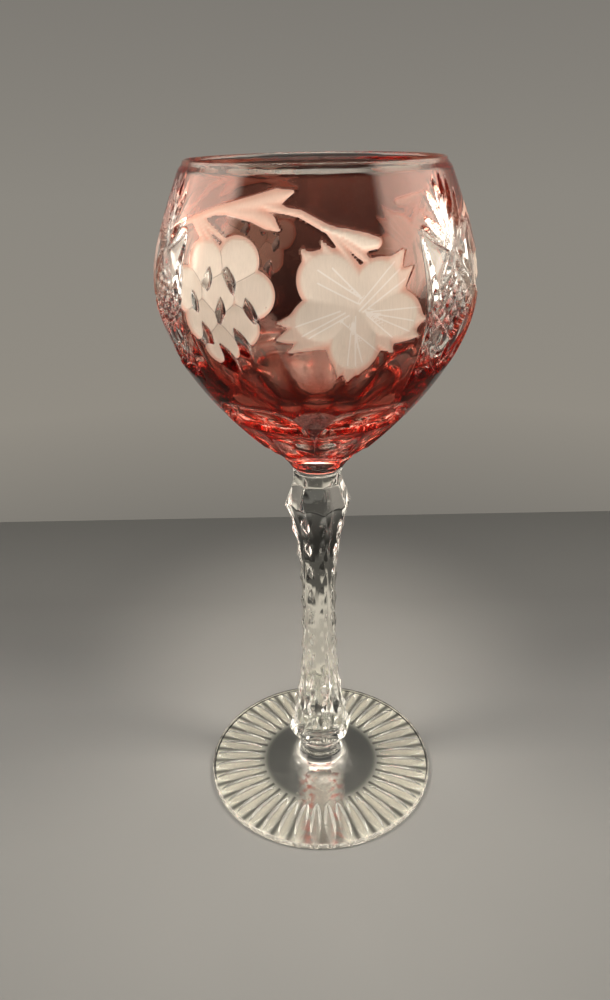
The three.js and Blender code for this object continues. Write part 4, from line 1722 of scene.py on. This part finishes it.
    def make_crystal(self, materials: list[Material]) -> bpy.types.Object:
        """The crystal: its outside under the ruby and in the cuts, the rim, and the plain inside.

        Args:
            materials: Finishes in the order of Skin.

        Returns:
            The piece.
        """
        depth = np.maximum(self.cuts.depth, self.thickness) + self.gap
        outside = self.surface(depth)
        rows, columns = depth.shape
        top = np.array([np.hypot(*outside[-1, 0, :2]), outside[-1, 0, 2]])
        inside = self.form.inside()
        lining = np.concatenate([self.rim(top, inside[0]), inside])
        inner = polar(lining[:, :1], self.azimuth, lining[:, 1:])
        rings = np.concatenate([outside, inner])
        polished = np.full(len(rings) - 1, Skin.POLISHED.value)
        shell = capped_tube("bowl_crystal_glass", rings, polished, Skin.FUSED, Skin.POLISHED)
        outer_cells = (rows - 1) * columns
        shell.skins[:outer_cells] = np.where(self.cell_mask(), Skin.FUSED.value, Skin.CUT.value)
        shell.skins[outer_cells : outer_cells + columns] = Skin.POLISHED.value
        pad = np.zeros(len(shell.points) - rows * columns)
        shell.attributes = {name: np.concatenate([v, pad]) for name, v in self.attributes().items()}
        shell.normals = np.zeros((len(shell.points), 3))
        shell.normals[: (rows - 2) * columns] = grid_normals(outside)[: rows - 2].reshape(-1, 3)
        return dress(shell.build(materials), "bowl_crystal")


# Studio


@dataclass(frozen=True)
class TableTop:
    """The pale, matt table that the glass stands on. It is lightest round the foot.

    Its tone is painted light and shade, given at distances in front of and behind the glass, as the camera
    sees it: lightest round the foot, darker towards the back and the front. The glass itself shows other
    tones, given at distances from its axis: painted light, cream where the cut foot gathers the light on the
    table, and painted shade, slate further away, as in a dim room. A pool of painted light has its place
    behind the glass, its reach and its gain.
    """

    edge: float = 193.0
    reach: float = 1600.0
    drop: float = 0.15
    tint: Color = (0.98, 1.0, 0.99)
    # Painted light and shade: lightest round the foot, darker towards the back and the front.
    tones: tuple[Place, ...] = (
        (-300.0, 0.16), (-180.0, 0.19), (-90.0, 0.215), (-68.0, 0.228), (-26.0, 0.246), (0.0, 0.27),
        (33.0, 0.25), (73.0, 0.18), (105.0, 0.134), (143.0, 0.118), (193.0, 0.095),
    )
    # Pools of painted light, mottled at random.
    pools: tuple[tuple[float, float, float], ...] = ((78.0, 115.0, 0.3), (-55.0, 170.0, 0.18))
    pool_color: Color = (0.6, 0.6, 0.58)
    mottle_scale: float = 14.0
    mottle_gains: Place = (0.75, 1.25)
    # Painted light and shade seen through the glass: pale under the stem, slate round it, a cream ring of
    # light under the rays, and slate further out.
    glass_tones: tuple[tuple[float, Color], ...] = (
        (0.0, (0.46, 0.44, 0.40)), (5.5, (0.42, 0.40, 0.36)), (7.5, (0.13, 0.13, 0.127)),
        (18.5, (0.13, 0.13, 0.127)), (23.0, (1.0, 0.97, 0.87)),
        (38.5, (1.0, 0.97, 0.87)), (42.0, (0.60, 0.58, 0.51)), (50.0, (0.07, 0.07, 0.067)),
        (200.0, (0.05, 0.05, 0.048)),
    )
    # Painted light gathered on the table behind the foot.
    behind: tuple[Place, ...] = (
        (0.0, 0.0), (30.0, 0.42), (55.0, 0.34), (76.0, 0.34),
        (90.0, 0.5), (103.0, 0.5), (114.0, 0.28), (128.0, 0.0),
    )
    behind_color: Color = (1.0, 0.97, 0.88)
    behind_foot: Place = (39.0, 46.0)
    # Painted shade between the rays, and towards the front.
    rays: int = 40
    ray_band: Place = (20.0, 38.2)
    ray_gap: Place = (0.45, 0.95)
    gap_tone: float = 0.18
    front_rays: Place = (-31.0, -17.0)
    front_tone: float = 0.76
    # Painted tones for other rays: a brighter bounce that lights the glass, and a dark tone that reflections
    # show.
    bounce: Color = (0.55, 0.51, 0.45)
    mirrored: Color = (0.06, 0.058, 0.053)
    # A painted strip of light in front of the stem, with red flecks of painted light in it.
    strip_sides: Place = (8.0, 4.5)
    strip_start: Place = (-6.0, -10.0)
    strip_fall: Place = (-10.0, -40.0)
    strip_end: float = 0.3
    strip_color: Color = (0.62, 0.57, 0.51)
    grain_scale: float = 1300.0
    grain_gains: Place = (0.6, 1.4)
    fleck_scale: float = 480.0
    fleck_share: Place = (0.45, 0.60)
    fleck_color: Color = (0.50, 0.19, 0.16)
    fleck_sides: Place = (1.8, 3.6)
    noise_detail: float = 3.0
    roughness: float = 0.75
    specular: float = 0.08

    def finish(self) -> Material:
        """Builds the finish.

        Returns:
            A matt surface that shows one tone to the camera, and others to other rays, all painted light and
            shade.
        """
        nodes = NodeTree(bpy.data.materials.new("table_top"))
        depth = nodes.add("SeparateXYZ", None, Vector=nodes.place()).outputs["Y"]
        # The tone that the camera sees is painted light and shade, with pools of painted light over it.
        tone = nodes.read(depth, [(y, tuple(v * c for c in self.tint)) for y, v in self.tones])
        mottle = nodes.spread(nodes.noise(self.mottle_scale, self.noise_detail), *self.mottle_gains)
        for middle, reach, gain in self.pools:
            glow = nodes.clamped("MULTIPLY", self.near(nodes, middle, reach, gain), mottle)
            tone = nodes.blend(glow, tone, self.pool_color)
        path = nodes.add("LightPath").outputs
        # Reflections show a painted dark tone, the glass shows painted light and shade, and bounce rays a
        # painted brighter tone.
        seen = nodes.blend(path["Is Glossy Ray"], tone, self.mirrored)
        seen = nodes.blend(path["Is Transmission Ray"], seen, self.through_glass(nodes))
        seen = nodes.blend(path["Is Diffuse Ray"], seen, self.bounce)
        matt = {"Base_Color": seen, "Roughness": self.roughness, "Specular_IOR_Level": self.specular}
        return nodes.surface("BsdfPrincipled", **matt)

    @staticmethod
    def near(nodes: NodeTree, behind: float, reach: float, gain: float) -> Socket:
        """How bright a pool of light is at each point of the table.

        Args:
            nodes: The material's tree.
            behind: How far its middle is behind the glass.
            reach: Distance from its middle at which it ends.
            gain: How bright its middle is.

        Returns:
            The gain, falling smoothly to 0.
        """
        middle = (0.0, behind * MM, 0.0)
        away = nodes.add("VectorMath", {"operation": "DISTANCE"}, i0=nodes.place(), i1=middle)
        return nodes.remap(away.outputs["Value"], (0.0, reach * MM), (gain, 0.0), soft=True)

    def through_glass(self, nodes: NodeTree) -> Socket:
        """The painted light and shade that the glass shows: round its axis, under its rays, behind its foot
        and in the strip.

        Args:
            nodes: The material's tree.

        Returns:
            The colour.
        """
        x, y, _ = nodes.add("SeparateXYZ", None, Vector=nodes.place()).outputs
        away = nodes.add("VectorMath", {"operation": "LENGTH"}, i0=nodes.place()).outputs["Value"]
        # Painted light and shade round the axis and between the rays, then painted light behind the foot.
        shown = nodes.product(nodes.read(away, self.glass_tones), self.under_rays(nodes, x, y, away))
        clear_of_foot = nodes.remap(away, metres(self.behind_foot))
        gathered = nodes.clamped("MULTIPLY", nodes.read(y, greys(self.behind)), clear_of_foot)
        shown = nodes.blend(gathered, shown, self.behind_color)
        cover, light = self.strip(nodes, x, y)
        return nodes.blend(cover, shown, light)

    def strip(self, nodes: NodeTree, x: Socket, y: Socket) -> tuple[Socket, Socket]:
        """The flecked strip of painted light that the stem throws in front of it, its flecks painted red
        light.

        Args:
            nodes: The material's tree.
            x: Distance to the right of the glass.
            y: Distance behind the glass.

        Returns:
            How much the strip covers at each point, and its colour.
        """
        aside = nodes.number("ABSOLUTE", x)
        across = nodes.remap(aside, metres(self.strip_sides))
        cover = nodes.clamped("MULTIPLY", across, nodes.remap(y, metres(self.strip_start)))
        dimming = nodes.remap(y, metres(self.strip_fall), (1.0, self.strip_end))
        flecks = nodes.remap(nodes.noise(self.fleck_scale, self.noise_detail), self.fleck_share)
        red = nodes.clamped("MULTIPLY", flecks, nodes.remap(aside, metres(self.fleck_sides)))
        grain = nodes.spread(nodes.noise(self.grain_scale, self.noise_detail), *self.grain_gains)
        plain = nodes.scaled(self.strip_color, nodes.number("MULTIPLY", grain, dimming))
        return cover, nodes.blend(red, plain, self.fleck_color)

    def under_rays(self, nodes: NodeTree, x: Socket, y: Socket, away: Socket) -> Socket:
        """Painted shade between the rays of the foot, under which the light is gathered in as many lines, and
        painted shade towards the front.

        The place across a ray is twice the fraction of the azimuth times the number of rays, less one.

        Args:
            nodes: The material's tree.
            x: Distance to the right of the glass.
            y: Distance behind the glass.
            away: Distance from its axis.

        Returns:
            What the tone is multiplied by.
        """
        azimuth = nodes.number("ARCTAN2", x, nodes.number("MULTIPLY", y, -1.0))
        part = nodes.number("FRACT", nodes.number("MULTIPLY", azimuth, self.rays / (2.0 * math.pi)))
        across = nodes.number("ABSOLUTE", nodes.number("MULTIPLY_ADD", part, 2.0, -1.0))
        low, high = metres(self.ray_band)
        inside, outside = nodes.number("GREATER_THAN", away, low), nodes.number("LESS_THAN", away, high)
        band = nodes.clamped("MULTIPLY", inside, outside)
        gap = nodes.clamped("MULTIPLY", band, nodes.remap(across, self.ray_gap, soft=True))
        shade = nodes.blend(gap, WHITE, (self.gap_tone,) * 3)
        return nodes.scaled(shade, nodes.remap(y, metres(self.front_rays), (self.front_tone, 1.0)))

    def make(self) -> bpy.types.Object:
        """The table.

        Returns:
            The object, linked to the scene.
        """
        x, y, z = self.reach * MM, self.edge * MM, -self.drop * MM
        mesh = bpy.data.meshes.new("table_top")
        mesh.from_pydata([(-x, -x, z), (x, -x, z), (x, y, z), (-x, y, z)], [], [(0, 1, 2, 3)])
        mesh.materials.append(self.finish())
        table = linked("table_top", mesh)
        return table


@dataclass(frozen=True)
class StudioLamp:
    """One soft rectangular lamp, aimed at a point."""

    name: str
    place: Point
    size: Place
    power: float
    color: Color = (1.0, 0.9, 0.78)
    aim: Point = (0.0, 0.0, 150.0)

    def make(self) -> bpy.types.Object:
        """The lamp, turned so that its own -Z points at its aim.

        Returns:
            The lamp, linked to the scene.
        """
        data = bpy.data.lights.new(self.name, "AREA")
        data.shape = "RECTANGLE"
        data.size, data.size_y = (side * MM for side in self.size)
        data.energy = self.power
        data.color = self.color
        lamp = linked(self.name, data)
        place = np.array(self.place) * MM
        back = place - np.array(self.aim) * MM
        back = back / np.linalg.norm(back)
        side = np.cross((0.0, 0.0, 1.0), back)
        side = side / np.linalg.norm(side)
        turn = np.eye(4)
        turn[:3] = np.stack([side, np.cross(back, side), back, place], axis=-1)
        lamp.matrix_world = Matrix(turn.tolist())
        lamp.visible_glossy = False
        return lamp


@dataclass(frozen=True)
class Studio:
    """Table, lamps, surroundings and camera."""

    camera_place: Point = (-3.9, -211.2, 207.94)
    pitch_down: float = 26.02
    roll: float = -1.05
    lens: float = 28.0
    sensor: float = 36.0
    near_clip: float = 0.01
    lamps: tuple[StudioLamp, ...] = (
        StudioLamp("left_lamp", place=(-370.0, -100.0, 640.0), size=(120.0, 180.0), power=2.65),
        StudioLamp("right_lamp", place=(370.0, -110.0, 640.0), size=(120.0, 180.0), power=2.65),
        StudioLamp(
            "front_lamp", place=(0.0, -340.0, 800.0), size=(420.0, 240.0), power=0.8, color=(1.0, 0.96, 0.9)
        ),
    )
    ambient: float = 0.22
    fill_facing: Place = (0.0, 0.6)
    fill_heights: Place = (0.6, 0.35)
    front_fill: Color = (1.55, 1.47, 1.36)
    through_glass: tuple[Place, ...] = (
        (0.285, 0.65), (0.315, 0.085), (0.35, 0.085), (0.41, 0.27), (0.46, 0.8), (0.52, 1.0), (0.6, 0.5),
    )
    room_color: Color = (0.035, 0.036, 0.038)
    screen_color: Color = (5.1, 4.6, 3.9)
    screens: tuple[Place, ...] = (
        (-135.0, 0.1), (-118.0, 0.75), (-96.0, 0.9), (-74.0, 1.0), (-64.0, 0.0),
        (50.0, 0.0), (60.0, 0.8), (90.0, 1.0), (112.0, 0.8), (135.0, 0.1),
    )
    screen_heights: tuple[Place, ...] = ((0.40, 0.0), (0.48, 0.5), (0.56, 1.0), (0.9, 1.0), (0.94, 0.4))
    wall_edge: Place = (2.6, 2.25)
    overhead: Place = (0.86, 0.94)
    overhead_color: Color = (7.0, 6.4, 5.3)
    backdrop: tuple[tuple[float, Color], ...] = (
        (0.0, (0.12, 0.115, 0.105)),
        (0.27, (0.20, 0.188, 0.165)),
        (0.34, (0.285, 0.262, 0.225)),
        (0.46, (0.262, 0.245, 0.215)),
        (0.58, (0.20, 0.188, 0.168)),
        (0.75, (0.15, 0.142, 0.13)),
        (0.80, (0.15, 0.142, 0.13)),
        (0.86, (0.5, 0.47, 0.41)),
        (1.0, (0.5, 0.47, 0.41)),
    )
    bounces: tuple[tuple[str, int], ...] = (
        ("max_bounces", 32), ("transmission_bounces", 32), ("glossy_bounces", 16),
        ("transparent_max_bounces", 64),
    )

    def surroundings(self) -> None:
        """A plain world: what matt surfaces are lit by, and what the glass and the camera see.

        The glass sees a grey wall behind it, a tall bright screen to each side and a dark room in front.
        """
        world = bpy.data.worlds.new("studio_world")
        bpy.context.scene.world = world
        world.cycles.sampling_method = "NONE"
        nodes = NodeTree(world)
        x, y, z = nodes.add("SeparateXYZ", None, Vector=nodes.add("TexCoord").outputs["Generated"]).outputs
        front = nodes.number("MULTIPLY", y, -1.0)
        azimuth = nodes.number("ARCTAN2", x, front)
        height = nodes.remap(z, (-1.0, 1.0))
        path = nodes.add("LightPath").outputs
        wall = nodes.ramp(height, self.backdrop)
        dimmed = nodes.ramp(height, greys(self.through_glass))
        shaded = nodes.blend(path["Is Transmission Ray"], WHITE, dimmed)
        off_wall = nodes.remap(nodes.number("ABSOLUTE", azimuth), self.wall_edge)
        view = nodes.blend(off_wall, nodes.product(wall, shaded), self.room(nodes, azimuth, height))
        view = nodes.blend(nodes.remap(z, self.overhead), view, self.overhead_color)
        view = nodes.blend(path["Is Camera Ray"], view, wall)
        facing = nodes.remap(front, self.fill_facing)
        fill = nodes.clamped("MULTIPLY", facing, nodes.remap(z, self.fill_heights))
        lit = nodes.blend(fill, (self.ambient,) * 3, self.front_fill)
        seen = nodes.add("Background", None, Color=view, Strength=1.0).outputs[0]
        even = nodes.add("Background", None, Color=lit, Strength=1.0).outputs[0]
        after_matt = nodes.clamped("MINIMUM", path["Diffuse Depth"], 1.0)
        mixed = nodes.add("MixShader", None, i0=after_matt, i1=seen, i2=even)
        nodes.add("OutputWorld", None, Surface=mixed.outputs[0])

    def room(self, nodes: NodeTree, azimuth: Socket, height: Socket) -> Socket:
        """The dark room in front of the glass, with a tall bright screen to each side.

        Args:
            nodes: The world's tree.
            azimuth: Angle in radians from the front.
            height: How high a direction points, from 0 for straight down to 1 for straight up.

        Returns:
            The colour.
        """
        turn = nodes.remap(azimuth, (-math.pi, math.pi))
        screens = [((degrees + 180.0) / 360.0, tone) for degrees, tone in self.screens]
        around = nodes.ramp(turn, greys(screens))
        screen = nodes.clamped("MULTIPLY", around, nodes.ramp(height, greys(self.screen_heights)))
        return nodes.blend(screen, self.room_color, self.screen_color)

    def camera(self) -> None:
        """The camera, at the photograph's angle."""
        data = bpy.data.cameras.new("camera")
        data.lens = self.lens
        data.sensor_width = self.sensor
        data.clip_start = self.near_clip
        camera = linked("camera", data)
        tilt = Matrix.Rotation(math.radians(90.0 - self.pitch_down), 4, "X")
        roll = Matrix.Rotation(math.radians(self.roll), 4, "Z")
        camera.matrix_world = Matrix.Translation([v * MM for v in self.camera_place]) @ tilt @ roll
        bpy.context.scene.camera = camera

    def make(self) -> None:
        """Builds the studio."""
        self.camera()
        self.surroundings()
        for lamp in self.lamps:
            lamp.make()
        TableTop().make()
        scene = bpy.context.scene
        scene.view_settings.view_transform = "Standard"
        for name, count in self.bounces:
            setattr(scene.cycles, name, count)
        log.info("studio is up")


def main() -> None:
    logging.basicConfig(level=logging.INFO, format="%(name)s: %(message)s")
    Studio().make()
    clear = ClearCrystal().make()
    fused = FusedSeam().make()
    Foot().make(clear, fused, FrostedRay().make())
    Stem().make(clear, fused)
    bowl = Bowl()
    bowl.make_crystal([clear, fused, CasedSurface("cut_crystal", tinted=False).make()])
    bowl.make_casing(CasedSurface("ruby_skin", tinted=True).make(), RubyFilm().make())


if __name__ == "__main__":
    main()
